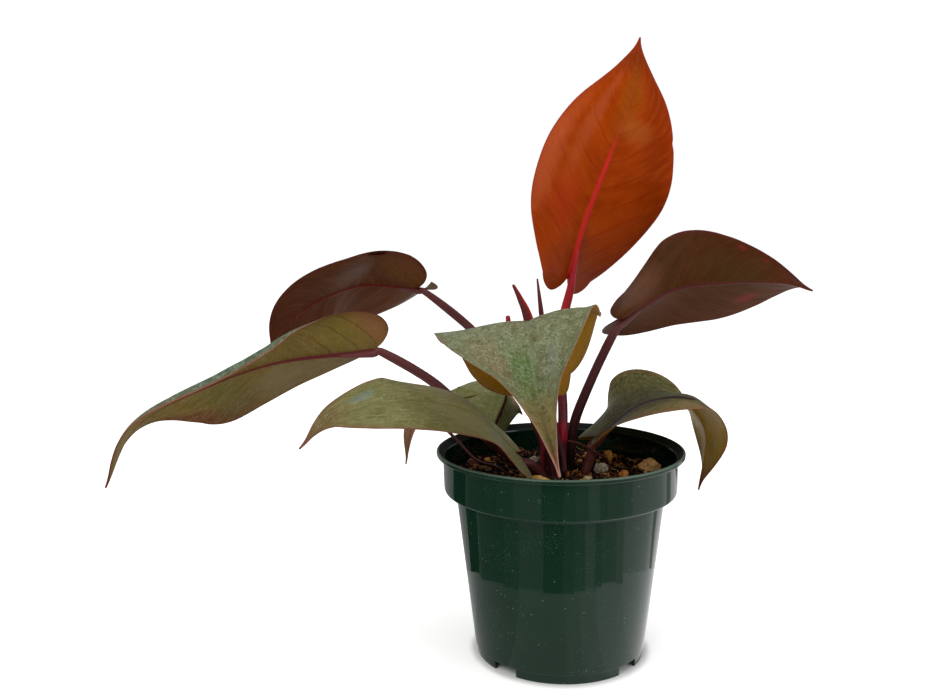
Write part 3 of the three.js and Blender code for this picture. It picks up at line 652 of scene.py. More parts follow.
def chipFinish(node, look):
    # main and pale tones in clouds, with dark grain and pits
    f = Finish(node.replace("_", " "))
    where = f.place()
    cloud = f.noise(where, 320, 4, 0.65)
    grain = f.noise(f.bend(where, 300, 0.002), 1400, 3, 0.7)
    pit = f.fall(f.cells(where, 900), 0.12, 0.34) * look["pits"]
    main, pale, dark = look["tones"]
    colour = f.coat(tint(*main), pale, f.rise(cloud, 0.35, 0.65))
    colour = f.coat(colour, dark, f.rise(grain, 0.48, 0.72) * 0.7)
    colour = f.coat(colour, dark, pit)
    return f.close(Base_Color=colour, Roughness=0.8 + 0.15 * grain,
                   Normal=f.bump(grain + cloud - pit, 0.7, 0.0006))


for node, look in chips.items():
    give(makeChip(node, look), chipFinish(node, look), node, look.get("slot", node))
print("bark and pumice made")

# Leaves: one blade formula, eight leaves

blade = {
    "rows": 150, "columns": 38, "ribSteps": 120, "thick": 0.62, "hemFrom": 0.6,
    "keelDepth": 1.9, "keelWidth": 1.5, "groove": 0.28, "grooveWidth": 0.9,
    "veins": 9, "sweep": 0.24, "sweepPower": 1.3, "veinShift": 0.22,  # the shift sets the sides apart
    "veinDepth": 0.07, "quilt": 0.09, "wave": 0.22, "waveSizes": (13, 5),
    "threads": 66,        # fine lines along the veins
    "driftReach": 34,     # mm across from rib to margin, for a rib line that wanders
}

# A blade laid flat, from foot to tip: share of the rib where a row leaves it, share of the rib where
# it meets the margin (negative in the basal lobes), half width there as a share of the width.
bladeOutline = [
    (0, 0, 0), (0.004, -0.045, 0.09), (0.015, -0.065, 0.21), (0.045, -0.035, 0.335), (0.1, 0.04, 0.425),
    (0.19, 0.16, 0.487), (0.32, 0.31, 0.5), (0.47, 0.47, 0.462), (0.62, 0.62, 0.372), (0.76, 0.765, 0.245),
    (0.88, 0.885, 0.112), (0.95, 0.953, 0.034), (1, 1, 0),
]


def ribSteps(leaf):
    # Even steps along the rib, with the facing turned about it by the roll r: facing cos r + side sin r.
    count = blade["ribSteps"] + 1
    place, heading, facing, length = steps(leaf["rib"], leaf["face"], count)
    side = np.cross(heading, facing)
    roll = np.radians(through(leaf["roll"], np.linspace(0, 1, count)))[:, None]
    facing = facing * np.cos(roll) + side * np.sin(roll)
    return place, heading, facing, np.cross(heading, facing), length


def ribAt(rib, share):
    # Place, heading, facing and side at a share of the rib: a straight blend of the steps beside it.
    u = np.clip(share, 0, 1) * blade["ribSteps"]
    i = np.minimum(u.astype(int), blade["ribSteps"] - 1)
    w = (u - i)[..., None]
    return [part[i] * (1 - w) + part[i + 1] * w for part in rib[:4]]


def veinPlace(share, k, sign):
    # Side veins leave the rib and sweep towards the tip; whole numbers of this lie on a vein.
    swept = share - blade["sweep"] * np.abs(k) ** blade["sweepPower"]
    return swept * blade["veins"] + blade["veinShift"] * sign


def bladeHalf(leaf, rib, sign, rows, columns):
    # One side of the rib. Each row leaves the rib at the fold angle and bends evenly, and from hemFrom
    # out to the margin it bends by the hem too. So it is two arcs, each from angle a0 to a1 at its own
    # bend: out = (sin a1 - sin a0) / bend, up = (cos a0 - cos a1) / bend.
    side = leaf["left"] if sign < 0 else leaf["right"]
    outline = through(bladeOutline, rows)[:, None, :]
    k = columns[None, :]
    share = outline[..., 0] * (1 - k) + outline[..., 1] * k
    wide = side.get("wide", 1) * np.ones_like(rows)[:, None]
    for where, depth, span in side.get("nicks", ()):  # dents in the margin
        wide = wide * (1 - depth * np.exp(-(((rows[:, None] - where) / span) ** 2)))
    breadth = outline[..., 2] * leaf["width"] * wide
    y, half = breadth * k, leaf["width"] / 2
    place, heading, facing, across = ribAt(rib, share)
    fold, bend, hem = (np.radians(through(side.get(key, (0, 0)), np.clip(share, 0, 1)))
                       for key in ("fold", "curl", "hem"))
    bend, hem = bend / half, hem / half / (1 - blade["hemFrom"])
    bend, hemBend = (np.where(np.abs(b) < 1e-6, 1e-6, b) for b in (bend, bend + hem))
    inner = np.minimum(y, breadth * blade["hemFrom"])
    turned = fold + bend * inner
    tilt = turned + hemBend * (y - inner)
    out = (np.sin(turned) - np.sin(fold)) / bend + (np.sin(tilt) - np.sin(turned)) / hemBend
    up = (np.cos(fold) - np.cos(turned)) / bend + (np.cos(turned) - np.cos(tilt)) / hemBend
    point = place + heading * (np.minimum(share, 0) * rib[4])[..., None]
    point = point + across * (sign * out)[..., None] + facing * up[..., None]
    tilt = tilt * eased(0, 0.08, k)
    normal = facing * np.cos(tilt)[..., None] - across * (sign * np.sin(tilt))[..., None]
    reach = np.hypot(breadth, (outline[..., 1] - outline[..., 0]) * rib[4])
    return point, normal, share, y, reach, k + 0 * share


def makeBlade(name, leaf):
    # Each row is one closed ring: left margin, rib, right margin on the upper face, then back below.
    # Both faces meet at the margin, where the thickness runs out in a round edge.
    rib = ribSteps(leaf)
    rows = np.linspace(0, 1, blade["rows"] + 1)
    s = np.linspace(0, 1, blade["columns"] + 1)
    columns = 0.5 * s + 0.25 * (1 - np.cos(np.pi * s))
    halves = {}
    for sign in (-1, 1):
        point, normal, share, y, reach, k = bladeHalf(leaf, rib, sign, rows, columns)
        # the surface: swollen between the veins, sunk on them, and softly waved towards the margin
        crest = 0.5 - 0.5 * np.cos(2 * np.pi * veinPlace(share, k, sign))  # 0 on a vein, 1 between two
        fade = eased(0, 0.1, k) * (1 - eased(0.75, 1, k))
        fade = fade * (1 - eased(0.8, 0.97, share)) * eased(-0.05, 0.05, share)
        shift = fade * (blade["quilt"] * crest - blade["veinDepth"] * np.exp(-crest / 0.09))
        flat = np.stack([sign * y, share * rib[4], 0 * y], -1)
        broad, small = blade["waveSizes"]
        wave = lumps(flat + 50, broad, leaf["seed"] + sign) + 0.4 * lumps(flat + 50, small, leaf["seed"] + 7)
        wave = blade["wave"] * leaf.get("ripple", 1) * wave * eased(0.15, 1, k)
        point = point + normal * (shift + wave * (1 - eased(0.85, 1, share)))[..., None]
        # the section: thin at the margin, with a keel under the rib and a groove on it
        thick = blade["thick"] / 2 * np.sqrt(np.clip(1 - k ** 26, 0, 1)) * (1 - 0.35 * k ** 3)
        taper = 1 - 0.86 * np.clip(share, 0, 1) ** 0.8
        keel = np.exp(-((y / (blade["keelWidth"] * (0.35 + 0.65 * taper))) ** 2))
        keel = blade["keelDepth"] * taper * keel * eased(-0.02, 0.04, share)
        dip = blade["groove"] * taper * np.exp(-((y / blade["grooveWidth"]) ** 2))
        upper = point + normal * (thick - dip)[..., None]
        lower = point - normal * (thick + keel)[..., None]
        halves[sign] = {"upper": upper, "lower": lower, "along": share, "across": sign * k,
                        "fromRib": y, "fromEdge": (1 - k) * reach, "flat": flat}

    def joined(above, below):
        left, right = halves[-1], halves[1]
        return np.concatenate([left[above][:, ::-1], right[above][:, 1:],
                               right[below][:, ::-1][:, 1:], left[below][:, 1:-1]], axis=1)

    def kept(key):
        # what the mesh keeps: all rows but the first and last, which shrink to one point each
        rings = joined(key, key)
        ends = [rings[:1].mean(1), rings[-1:].mean(1)]
        return np.concatenate([rings[1:-1].reshape(-1, *rings.shape[2:]), *ends])

    grid = joined("upper", "lower")
    count, ring = grid.shape[0] - 2, grid.shape[1]
    upperCount = 2 * blade["columns"] + 1
    upperFace = np.zeros(ring)
    upperFace[:upperCount] = 1
    upperFace[[0, upperCount - 1]] = 0.5
    values = {key: kept(key) for key in ("along", "across", "fromRib", "fromEdge")}
    values["upperFace"] = np.concatenate([np.tile(upperFace, count), [0.5, 0.5]])
    points = np.vstack([grid[1:-1].reshape(-1, 3), grid[0].mean(0), grid[-1].mean(0)])
    return makeMesh(name, points, closedFaces(count, ring), values, kept("flat")[:, :2] / 100 + 0.5), rib


def faceColour(f, marks, look):
    # One face: two tones in clouds, then patches, fine lines, veins, other marks, rib, blush and edge.
    base, second, vein, rib, edge = look["tones"]
    colour = f.coat(tint(*base), second, f.rise(marks["cloud"], 0.3, 0.7))
    for along, across, tall, wide, tone, strength in look.get("patches", ()):
        # a soft patch: its place along and across, its reach both ways, colour and strength; a few are
        # painted sheen and painted light
        dx, dy = (marks["across"] - across) / wide, (marks["along"] - along) / tall
        far = (dx * dx + dy * dy) ** 0.5 + (marks["cloud"] - 0.5) * 0.9
        colour = f.coat(colour, tone, f.rise(far, 0.25, 1.15, strength, 0))

    def shown(kind, share, span):
        # strength of the veins or the rib, which fade along the leaf from start to end to a rest
        share = look.get(kind + "Share", share)
        start, end, rest = look.get(kind + "Span", span)
        return f.rise(marks["along"], start, end, share, share * rest)

    colour = f.coat(colour, vein, marks["fine"] * look.get("fineShare", 0.1))
    colour = f.coat(colour, vein, marks["veins"] * shown("vein", 0.35, (0.8, 0.97, 0)))
    for kind in ("brush", "crease", "net", "scurf"):
        if kind in look:
            tone, share = look[kind]
            colour = f.coat(colour, tone, marks[kind] * share)
    ratio = marks["fromRib"]
    if "ribDrift" in look:  # the rib line wanders off the middle: across at its start and end, along at both
        first, last, start, end = look["ribDrift"]
        ratio = abs(marks["across"] - f.rise(marks["along"], start, end, first, last)) * blade["driftReach"]
    ratio = ratio / (look.get("ribWidth", 1.5) * (1.06 - look.get("ribTaper", 1) * marks["along"]))
    colour = f.coat(colour, rib, f.fall(ratio, 0.6, 1.15) * shown("rib", 1, (0.9, 1, 0.6)))
    blush = f.rise(marks["fromEdge"], 0.5, look.get("blush", 5), look.get("blushShare", 0.3), 0)
    width = look.get("edgeWidth", 0.5)
    colour = f.coat(colour, edge, blush)
    return f.coat(colour, edge, f.fall(marks["fromEdge"], width * 0.5, width * 1.3))


def leafFinish(name, leaf):
    # The marks, each 0 to 1, are worked out once, and each face shows them in its own tones.
    f = Finish(name)
    flat = f.plane()
    marks = {key: f.read(key) for key in ("along", "across", "fromRib", "fromEdge")}
    along, across = marks["along"], marks["across"]
    side = abs(across)
    marks["cloud"] = f.noise(flat, 7, 3, 0.55, 0.3)
    wobble = (f.noise(flat, 14) - 0.5) * 0.2
    turn = along - blade["sweep"] * side ** blade["sweepPower"]
    place = turn * blade["veins"] + blade["veinShift"] * across.maths("SIGN", across)
    near = place.maths("PINGPONG", place + wobble, 0.5)
    marks["veins"] = f.fall(near, 0.015, 0.075) * f.rise(side, 0.6, 1, 1, 0.15)
    thread = turn.maths("PINGPONG", (turn + wobble * 0.08) * blade["threads"], 0.5)
    marks["fine"] = f.flecks(thread, 0.05, 0.45, f.noise(flat, 9), 0.35, 0.65)
    if "grain" in leaf:  # streaks along the length, not with the veins: counts across and along
        streak = f.point(across * leaf["grain"][0], along * leaf["grain"][1])
    else:
        streak = f.point((turn + wobble * 0.1) * leaf.get("streaks", 60), across * 3)
    brushed = f.noise(streak, 1, 3, 0.6)
    marks["brush"] = f.rise(brushed, 0.42, 0.7)
    scale = leaf.get("netScale", 60)
    web = f.cells(f.bend(flat, 26, 0.05), scale, "DISTANCE_TO_EDGE")
    start, end, rest = leaf.get("netSpan", (0.9, 1, 0.6))  # the pale net thins out between these
    marks["net"] = f.flecks(web, 0.02, 0.15, f.noise(flat, 30, 3), 0.38, 0.6)
    marks["net"] = marks["net"] * f.rise(along, start, end, 1, rest)
    crack = f.cells(f.bend(flat, 18, 0.09), scale * 0.62, "DISTANCE_TO_EDGE")
    marks["crease"] = f.flecks(crack, 0.02, 0.12, f.noise(flat, 24, 3), 0.42, 0.6)
    dots = f.cells(f.bend(flat, 60, 0.02), 90)
    marks["scurf"] = f.flecks(dots, 0.1, 0.28, f.noise(flat, 22, 3, 0.7), 0.48, 0.66)
    under, upper = faceColour(f, marks, leaf["under"]), faceColour(f, marks, leaf["upper"])
    colour = f.mix(f.rise(f.read("upperFace"), 0.3, 0.7), under, upper)
    colour = f.coat(colour, leaf["upper"]["tones"][1], f.rise(brushed, 0.35, 0.75) * 0.1)
    grain = f.noise(flat, 160, 3, 0.6)
    height = marks["fine"] * -0.2 + marks["net"] * 0.5 + grain * 0.8 + marks["scurf"] * 0.6 + brushed * 0.5
    height = height - marks["crease"] * 0.5
    rough = leaf["rough"] + 0.12 * (grain - 0.5) + 0.12 * marks["scurf"]
    return f.close(Base_Color=colour, Roughness=rough, Normal=f.bump(height, leaf.get("bump", 0.3), 0.0002),
                   IOR=1.4, Specular_IOR_Level=leaf.get("gloss", 0.06))


# Stalks: round, with a shallow channel down one side, running in under the foot of the rib

stalk = {
    "sides": 28, "rings": 84, "soil": 77, "surface": 84.5, "endRadius": 2.05,
    "channel": 0.08, "channelWidth": 0.55,  # depth as a share of the radius, half width in radians
    "below": 2.25, "runIn": 5, "bow": 0.9,  # mm under the rib's foot, back along it, and further down there
    "swell": 1.06,        # radius at the soil as a share of the leaf's own
    "shrink": (0.8, 0.42),  # radius under the rib as shares of endRadius
    "under": ((0.05, 1.8), (0.11, 1.25)),  # share of the rib, and mm under it
}


def channel(a, breadth):
    # 1 down the side of a tube that lies a quarter turn on from its facing, 0 away from it
    away = (a - np.pi / 2 + np.pi) % (2 * np.pi) - np.pi
    return np.exp(-((away / breadth) ** 2))


def makeTube(name, path, wide, deep, facing, rings, sides, shape=None, seed=0, rough=0):
    # Ring by ring along the path: place + facing wide cos a + side deep sin a, each reach times shape(a).
    place, heading, up, length = steps(path, facing, rings)
    share = np.linspace(0, 1, rings)
    a = onceRound(sides)
    factor = np.ones((rings, sides)) if shape is None else shape(share[:, None], a[None, :])
    w, d = (through(reach, share)[:, None] * factor for reach in (wide, deep))
    side = np.cross(heading, up)[:, None] * (d * np.sin(a))[..., None]
    grid = place[:, None] + up[:, None] * (w * np.cos(a))[..., None] + side
    if rough:
        bumps = rough * lumps(grid, 2.2, seed) + 0.5 * rough * lumps(grid, 0.9, seed + 1)
        grid = grid + unit(grid - place[:, None]) * bumps[..., None]
    ends = [place[0] - heading[0] * 0.2, place[-1] + heading[-1] * min(wide[-1], 0.5)]
    values = {
        "alongMm": np.append(np.repeat(share * length, sides), [0, length]),
        "alongShare": np.append(np.repeat(share, sides), [0, 1]),
        "ringX": np.append(np.tile(np.cos(a), rings), [0, 0]),
        "ringY": np.append(np.tile(np.sin(a), rings), [0, 0]),
    }
    return makeMesh(name, np.vstack([grid.reshape(-1, 3), *ends]), closedFaces(rings, sides), values)


def stalkPath(leaf, rib):
    # Up from the soil, through the leaf's own points, then along under the foot of the rib
    foot, heading, facing, side = (part[0] for part in rib[:4])
    end = foot - facing * stalk["below"] + side * leaf.get("shift", 0)
    x, y = leaf["stalk"][0]
    path = [(x, y, stalk["soil"]), (x, y, stalk["surface"]), *leaf["stalk"][1:]]
    path += [end - heading * stalk["runIn"] - facing * stalk["bow"], end]
    for share, below in stalk["under"]:
        place, _, facing, _ = ribAt(rib, np.array(share))
        path.append(place - facing * below)
    return path


def makeStalk(name, leaf, rib):
    path = stalkPath(leaf, rib)
    last = len(path) - 3
    start, end = leaf["radius"], stalk["endRadius"]
    radius = [start * stalk["swell"] + (end - start) * i / last for i in range(last + 1)]
    radius += [end * share for share in stalk["shrink"]]

    def channelled(share, a):
        # pulled in down the side that looks left at the soil, less towards the blade
        return 1 - stalk["channel"] * channel(a, stalk["channelWidth"]) * (1 - share ** 4)

    return makeTube(name, path, radius, radius, (0, 1, 0), stalk["rings"], stalk["sides"], channelled)


def lengthwise(f, around, along, detail, rough=0.5):
    # noise drawn out along a tube
    where = f.point(f.read("ringX") * around, f.read("ringY") * around, f.read("alongMm") * along)
    return f.noise(where, 1, detail, rough)


def stalkFinish(name, look):
    # tones along the length, dark streaks, and pale threads and flecks
    f = Finish(name)
    streaks, fine = lengthwise(f, 5, 0.035, 4, 0.6), lengthwise(f, 16, 0.05, 2)
    fleck = f.flecks(f.cells(f.place(), 700), 0.08, 0.2, f.noise(f.place(), 160), 0.55, 0.68)
    colour = f.ramp(look["tones"], f.read("alongShare"))
    colour = f.mix(f.rise(streaks, 0.42, 0.68) * 0.6, colour, f.stretch(colour, (0.5, 0.45, 0.45)))
    colour = f.coat(colour, look["pale"], f.rise(fine, 0.5, 0.75) * 0.3)
    colour = f.coat(colour, look["pale"], fleck * 0.35)
    return f.close(Base_Color=colour, Roughness=0.38 + 0.1 * streaks,
                   Normal=f.bump(streaks + 0.6 * fine, 0.3, 0.00025), IOR=1.42, Specular_IOR_Level=0.25)


# tones: share of the length from the soil up, and the colour there
redStalk = {
    "tones": [(0, (60, 22, 30)), (0.18, (74, 26, 36)), (0.2, (170, 26, 46)), (0.25, (156, 28, 44)),
              (0.28, (96, 36, 46)), (0.45, (120, 36, 44)), (0.6, (172, 26, 42)), (1, (176, 26, 34))],
    "pale": (206, 84, 94), "slot": "stalk_red",
}
rightStalk = {
    "tones": [(0, (26, 12, 10)), (0.14, (38, 17, 16)), (0.35, (70, 30, 32)), (1, (90, 42, 42))],
    "pale": (116, 74, 74),
}
maroonStalk = {"tones": [(0, (70, 28, 30)), (0.5, (76, 34, 34)), (1, (96, 44, 44))], "pale": (134, 92, 88)}
darkStalk = {"tones": [(0, (58, 20, 24)), (0.5, (74, 28, 30)), (1, (80, 32, 34))], "pale": (118, 66, 62)}
brownStalk = {"tones": [(0, (72, 28, 22)), (0.5, (98, 42, 34)), (1, (84, 36, 34))], "pale": (128, 70, 56)}

# The eight leaves. rib: foot to tip in mm; face: where the upper face looks at the foot; roll, fold and
# curl in degrees at foot, middle and tip; hem in degrees at five even places, the further turn of the
# margin; left and right as seen on the upper face with the tip up. On each face: the two tones of the
# blade, then those of its veins, rib and edge. Brush, crease, net and scurf are a colour and its strength.
# A patch is its place along and across, its reach both ways, its colour and its strength. A span is where
# something fades along the leaf: start, end and what is left.

tallLeaf = {
    "rib": [(6, 22, 177), (14, 22, 204), (24, 16, 232), (34, 13, 261), (40, 26, 289)],
    "face": (-0.15, 1, 0.1), "width": 70, "roll": (46, -1, -6), "seed": 101,
    "left": {"fold": (13, -2, 31), "curl": (-27, -5, -2), "wide": 1.02, "nicks": [(0.665, 0.02, 0.007)]},
    "right": {"fold": (-4, -2, 33), "curl": (7, -9, 6), "wide": 1.01},
    "stalk": [(1.2, 8), (1.9, 9.5, 95), (2.5, 11, 104), (2.9, 16.5, 118), (1.4, 20, 145)], "radius": 2.45,
    "under": {
        "tones": ((142, 51, 0), (130, 43, 0), (112, 22, 4), (176, 36, 32), (136, 30, 22)), "ribWidth": 2.3,
        "ribTaper": 1.15, "ribSpan": (0.45, 0.62, 0.12), "veinShare": 0.28, "veinSpan": (0.55, 0.75, 0.3),
        "blushShare": 0.12, "brush": ((150, 66, 14), 0.22),
        "patches": [
            (0.76, -0.05, 0.22, 0.35, (126, 60, 4), 0.8), (0.66, -0.75, 0.45, 0.4, (112, 34, 0), 0.75),
            # painted highlights: these two patches are painted sheen
            (0.62, -0.3, 0.06, 0.4, (142, 74, 30), 0.5), (0.64, 0.5, 0.3, 0.16, (150, 68, 34), 0.6),
            (0.97, 0, 0.16, 2, (100, 36, 0), 0.85), (0.28, 0.45, 0.14, 0.3, (150, 42, 8), 0.6),
            # painted light: the first patch lightens the lower side that turns away from the light; the
            # second is a painted sheen along the margin
            (0.22, -0.5, 0.2, 0.5, (166, 62, 10), 0.75), (0.45, 0.9, 0.3, 0.25, (166, 78, 42), 0.6),
        ],
    },
    "upper": {
        "tones": ((186, 84, 24), (172, 70, 18), (204, 112, 48), (196, 92, 44), (150, 40, 30)),
        "ribWidth": 1.3,
        "patches": [(0.7, 0, 0.3, 0.5, (190, 104, 30), 0.6)],
    },
    "rough": 0.4, "gloss": 0.035, "streaks": 34,
}

rightLeaf = {
    "rib": [(30, 12, 157), (54, 18, 170), (76, 12, 174), (100, -4, 175), (110, -18, 172)],
    "face": (-0.1, 0.8, 0.5), "width": 68, "roll": (33, 4, 22), "seed": 202,
    "left": {"fold": (25, 12, 25), "curl": (-50, 0, -3), "wide": 1.02},
    "right": {"fold": (13, 10, 17), "curl": (-15, -16, 13), "wide": 1.06},
    "stalk": [(6.4, 13.5), (6.8, 13.2, 98), (8.9, 13, 109), (13.2, 13, 120.5), (20.5, 13.5, 137)],
    "radius": 2.5,
    "under": {
        "tones": ((76, 40, 16), (66, 34, 8), (84, 46, 30), (84, 34, 38), (84, 26, 26)), "ribWidth": 1.3,
        "veinShare": 0.3, "veinSpan": (0.3, 0.5, 0.3), "brush": ((88, 54, 30), 0.35),
        "patches": [
            (0.62, 0.2, 0.2, 0.5, (66, 46, 22), 0.6), (0.68, 0.83, 0.025, 0.07, (122, 28, 36), 0.8),
            (0.78, 0.75, 0.02, 0.06, (118, 32, 34), 0.6), (0.62, -0.6, 0.07, 0.16, (112, 34, 36), 0.7),
            (0.12, 0.4, 0.16, 0.6, (100, 60, 40), 0.6), (0.2, -0.5, 0.2, 0.5, (82, 42, 20), 0.6),
            (0.9, 0, 0.14, 2, (88, 38, 26), 0.6),
        ],
    },
    "upper": {
        "tones": ((66, 66, 40), (58, 54, 32), (98, 88, 62), (84, 44, 44), (84, 28, 30)), "ribWidth": 1.1,
        "net": ((104, 100, 74), 0.3),
    },
    "rough": 0.42,
}

upperLeftLeaf = {
    "rib": [(-67, 45, 171), (-93, 50, 173), (-110, 35, 169), (-127, 22, 159), (-138, 16, 142)],
    "face": (0.2, 0.8, 0.5), "width": 69, "roll": (-29, -12, 24), "seed": 303,
    "left": {"fold": (6, -9, 15), "curl": (1, -6, -7), "hem": (14, -22, 10, -6, -3), "wide": 1.03},
    "right": {"fold": (17, -5, 6), "curl": (34, -30, -5), "hem": (13, 14, -4, -1, -1), "wide": 1.03},
    "stalk": [(-5.2, 15.4), (-5.8, 15.4, 94), (-13, 20.5, 113), (-26, 33, 134), (-42, 41, 151)],
    "radius": 2.3,
    "under": {
        "tones": ((82, 44, 22), (72, 36, 16), (100, 62, 46), (96, 22, 24), (84, 28, 24)), "ribWidth": 1.3,
        "veinShare": 0.3, "blushShare": 0.25, "brush": ((100, 66, 50), 0.3),
        "patches": [
            (0.06, -0.5, 0.22, 0.6, (92, 52, 16), 0.8), (0.8, 0, 0.3, 1, (82, 40, 28), 0.6),
            (0.45, -0.45, 0.16, 0.3, (100, 74, 62), 0.5),
        ],
    },
    "upper": {
        "tones": ((74, 60, 38), (62, 48, 30), (104, 84, 60), (84, 40, 40), (84, 28, 28)), "ribWidth": 1.1,
        "net": ((108, 96, 72), 0.3),
    },
    "rough": 0.44, "gloss": 0.03,
}

longLeftLeaf = {
    "rib": [(-86, -11, 146), (-126, -26, 144), (-153, -52, 137), (-176, -65, 124), (-188, -69, 100)],
    "face": (0.2, 0.8, 0.5), "width": 54, "roll": (15, 1, -18), "seed": 404,
    "left": {"fold": (49, -10, 6), "curl": (-78, -65, -99), "hem": (-15, -26, -8, -28, -18), "wide": 0.91},
    "right": {"fold": (63, 7, 32), "curl": (-15, -20, 3), "hem": (-4, 16, -18, 23, 0), "wide": 1.04},
    "stalk": [(-11, 1.4), (-16, 1, 89), (-24, 0.5, 94.5), (-36, 0.5, 104.5), (-56, -1, 127.5)], "radius": 2.5,
    "under": {
        "tones": ((98, 78, 36), (88, 70, 24), (64, 32, 22), (88, 30, 34), (84, 36, 30)), "ribWidth": 1.25,
        "veinShare": 0.5, "veinSpan": (0.12, 0.3, 0.12), "brush": ((112, 96, 62), 0.4),
        "net": ((126, 108, 70), 0.25),
        "patches": [
            (0, -0.75, 0.09, 0.4, (120, 76, 44), 0.85), (0.1, -0.4, 0.1, 0.5, (106, 90, 34), 0.7),
            (0.5, 0.35, 0.16, 0.4, (76, 70, 26), 0.8), (0.26, 0.5, 0.14, 0.5, (96, 84, 56), 0.8),
            (0.6, 0.85, 0.25, 0.25, (78, 40, 24), 0.8), (0.42, 0.7, 0.12, 0.3, (80, 70, 40), 0.7),
            (0.9, 0, 0.2, 1.5, (112, 98, 66), 0.7),
        ],
    },
    "upper": {
        "tones": ((70, 88, 66), (60, 78, 54), (104, 120, 98), (96, 84, 66), (128, 72, 62)), "ribWidth": 1.1,
        "net": ((140, 152, 132), 0.6),
    },
    "rough": 0.4,
}

lowLeftLeaf = {
    "rib": [(-22, -19, 101), (-42, -31, 122), (-71, -55, 131), (-97, -57, 125), (-112, -60, 113)],
    "face": (0, -0.4, 0.9), "width": 54, "roll": (5, 6, 17), "seed": 505,
    "left": {"fold": (1, 4, 23), "curl": (2, 12, -63)},
    "right": {"fold": (0, 2, 17), "curl": (-15, -43, 38)},
    "stalk": [(-8, -3.6), (-10.5, -8, 88), (-14.5, -13, 93.5)], "radius": 2.1,
    "under": {
        "tones": ((112, 80, 26), (96, 68, 24), (78, 44, 26), (90, 44, 42), (112, 52, 42)), "veinShare": 0.4,
    },
    "upper": {
        "tones": ((102, 98, 56), (88, 86, 42), (122, 120, 74), (94, 90, 44), (112, 62, 52)),
        "ribWidth": 0.9, "ribShare": 0.4, "veinShare": 0.25, "blush": 4, "net": ((140, 140, 96), 0.4),
        "scurf": ((162, 162, 122), 0.6), "brush": ((154, 152, 114), 0.45),
        "patches": [
            (0.94, 0, 0.18, 1.6, (96, 60, 38), 0.85), (0.73, 0.43, 0.06, 0.24, (88, 104, 94), 1),
            (0.34, -0.1, 0.2, 1, (124, 116, 78), 0.75), (0.18, -1, 0.1, 0.3, (122, 84, 22), 0.95),
            (0, -0.7, 0.07, 0.5, (96, 92, 66), 0.9),
        ],
    },
    "rough": 0.44, "bump": 0.5, "grain": (40, 14),
}

frontLeaf = {
    "rib": [(-9, -12, 131), (-10, -15, 150), (-18, -48, 162), (-16, -73, 137), (-9, -93, 109)],
    "face": (0, 0.9, 0.3), "width": 61, "roll": (-15, 1, -11), "seed": 606, "ripple": 0.6,
    "left": {"fold": (29, 15, 64), "curl": (80, -41, 128), "hem": (35, -75, 62, 59, 50), "wide": 1.01},
    "right": {"fold": (34, 15, 68), "curl": (-75, -1, 160), "hem": (38, 33, 7, -9, -10), "wide": 1.37},
    "stalk": [(-3, -5), (-4.5, -4.6, 100), (-5.5, -2, 111)], "radius": 2.2,
    "under": {
        "tones": ((130, 90, 18), (118, 84, 4), (140, 92, 50), (120, 60, 50), (140, 96, 84)),
        "edgeWidth": 0.4, "ribWidth": 1.6, "veinShare": 0.25, "blushShare": 0.15,
    },
    "upper": {
        "tones": ((102, 108, 80), (98, 94, 66), (118, 126, 92), (112, 120, 84), (142, 102, 90)),
        "edgeWidth": 0.4, "ribWidth": 0.9, "ribShare": 0.4, "veinShare": 0.1, "blush": 2.2,
        "blushShare": 0.15, "net": ((150, 158, 128), 0.5), "crease": ((62, 68, 40), 0.6),
        "brush": ((116, 116, 78), 0.35),
        "patches": [
            (0.62, 0.55, 0.12, 0.3, (114, 96, 66), 0.7), (0.65, 0.15, 0.1, 0.24, (74, 104, 50), 0.85),
            (0.74, 0.1, 0.06, 0.5, (98, 104, 54), 0.7), (0.84, 0, 0.1, 1.3, (146, 124, 74), 0.85),
            (0.96, 0, 0.07, 2, (148, 100, 72), 0.9), (0.63, -0.42, 0.08, 0.2, (104, 110, 92), 0.8),
            (0.64, -0.02, 0.12, 0.05, (132, 140, 110), 0.5),
        ],
    },
    "rough": 0.44, "bump": 0.55, "netScale": 52, "netSpan": (0.7, 0.86, 0.3), "grain": (30, 8),
}

backLeaf = {
    "rib": [(-29, 26, 104), (-24, 33, 119), (-40, 58, 120), (-70, 64, 101), (-77, 64, 74)],
    "face": (-0.2, -0.9, 0.5), "width": 51, "roll": (24, 15, 20), "seed": 707,
    "left": {"fold": (-4, 0, 9), "curl": (-6, 1, 0), "wide": 1.04},
    "right": {"fold": (-50, -26, 2), "curl": (-29, -33, -6), "wide": 0.8},
    "stalk": [(-13.6, 6), (-18, 9, 86.5), (-24, 16, 91), (-29, 22, 97)], "radius": 1.9, "shift": -1.4,
    "under": {
        "tones": ((140, 88, 46), (126, 80, 38), (96, 48, 28), (108, 50, 44), (108, 84, 50)),
        "ribWidth": 1.4,
    },
    "upper": {
        "tones": ((110, 110, 66), (98, 102, 56), (128, 132, 92), (58, 16, 20), (100, 88, 56)),
        "ribWidth": 0.9, "veinShare": 0.15, "net": ((142, 146, 108), 0.55),
        "patches": [
            (0.85, 0, 0.2, 1.2, (112, 72, 38), 0.9), (0.2, 0.5, 0.12, 0.5, (142, 100, 66), 0.7),
        ],
    },
    "rough": 0.44,
}

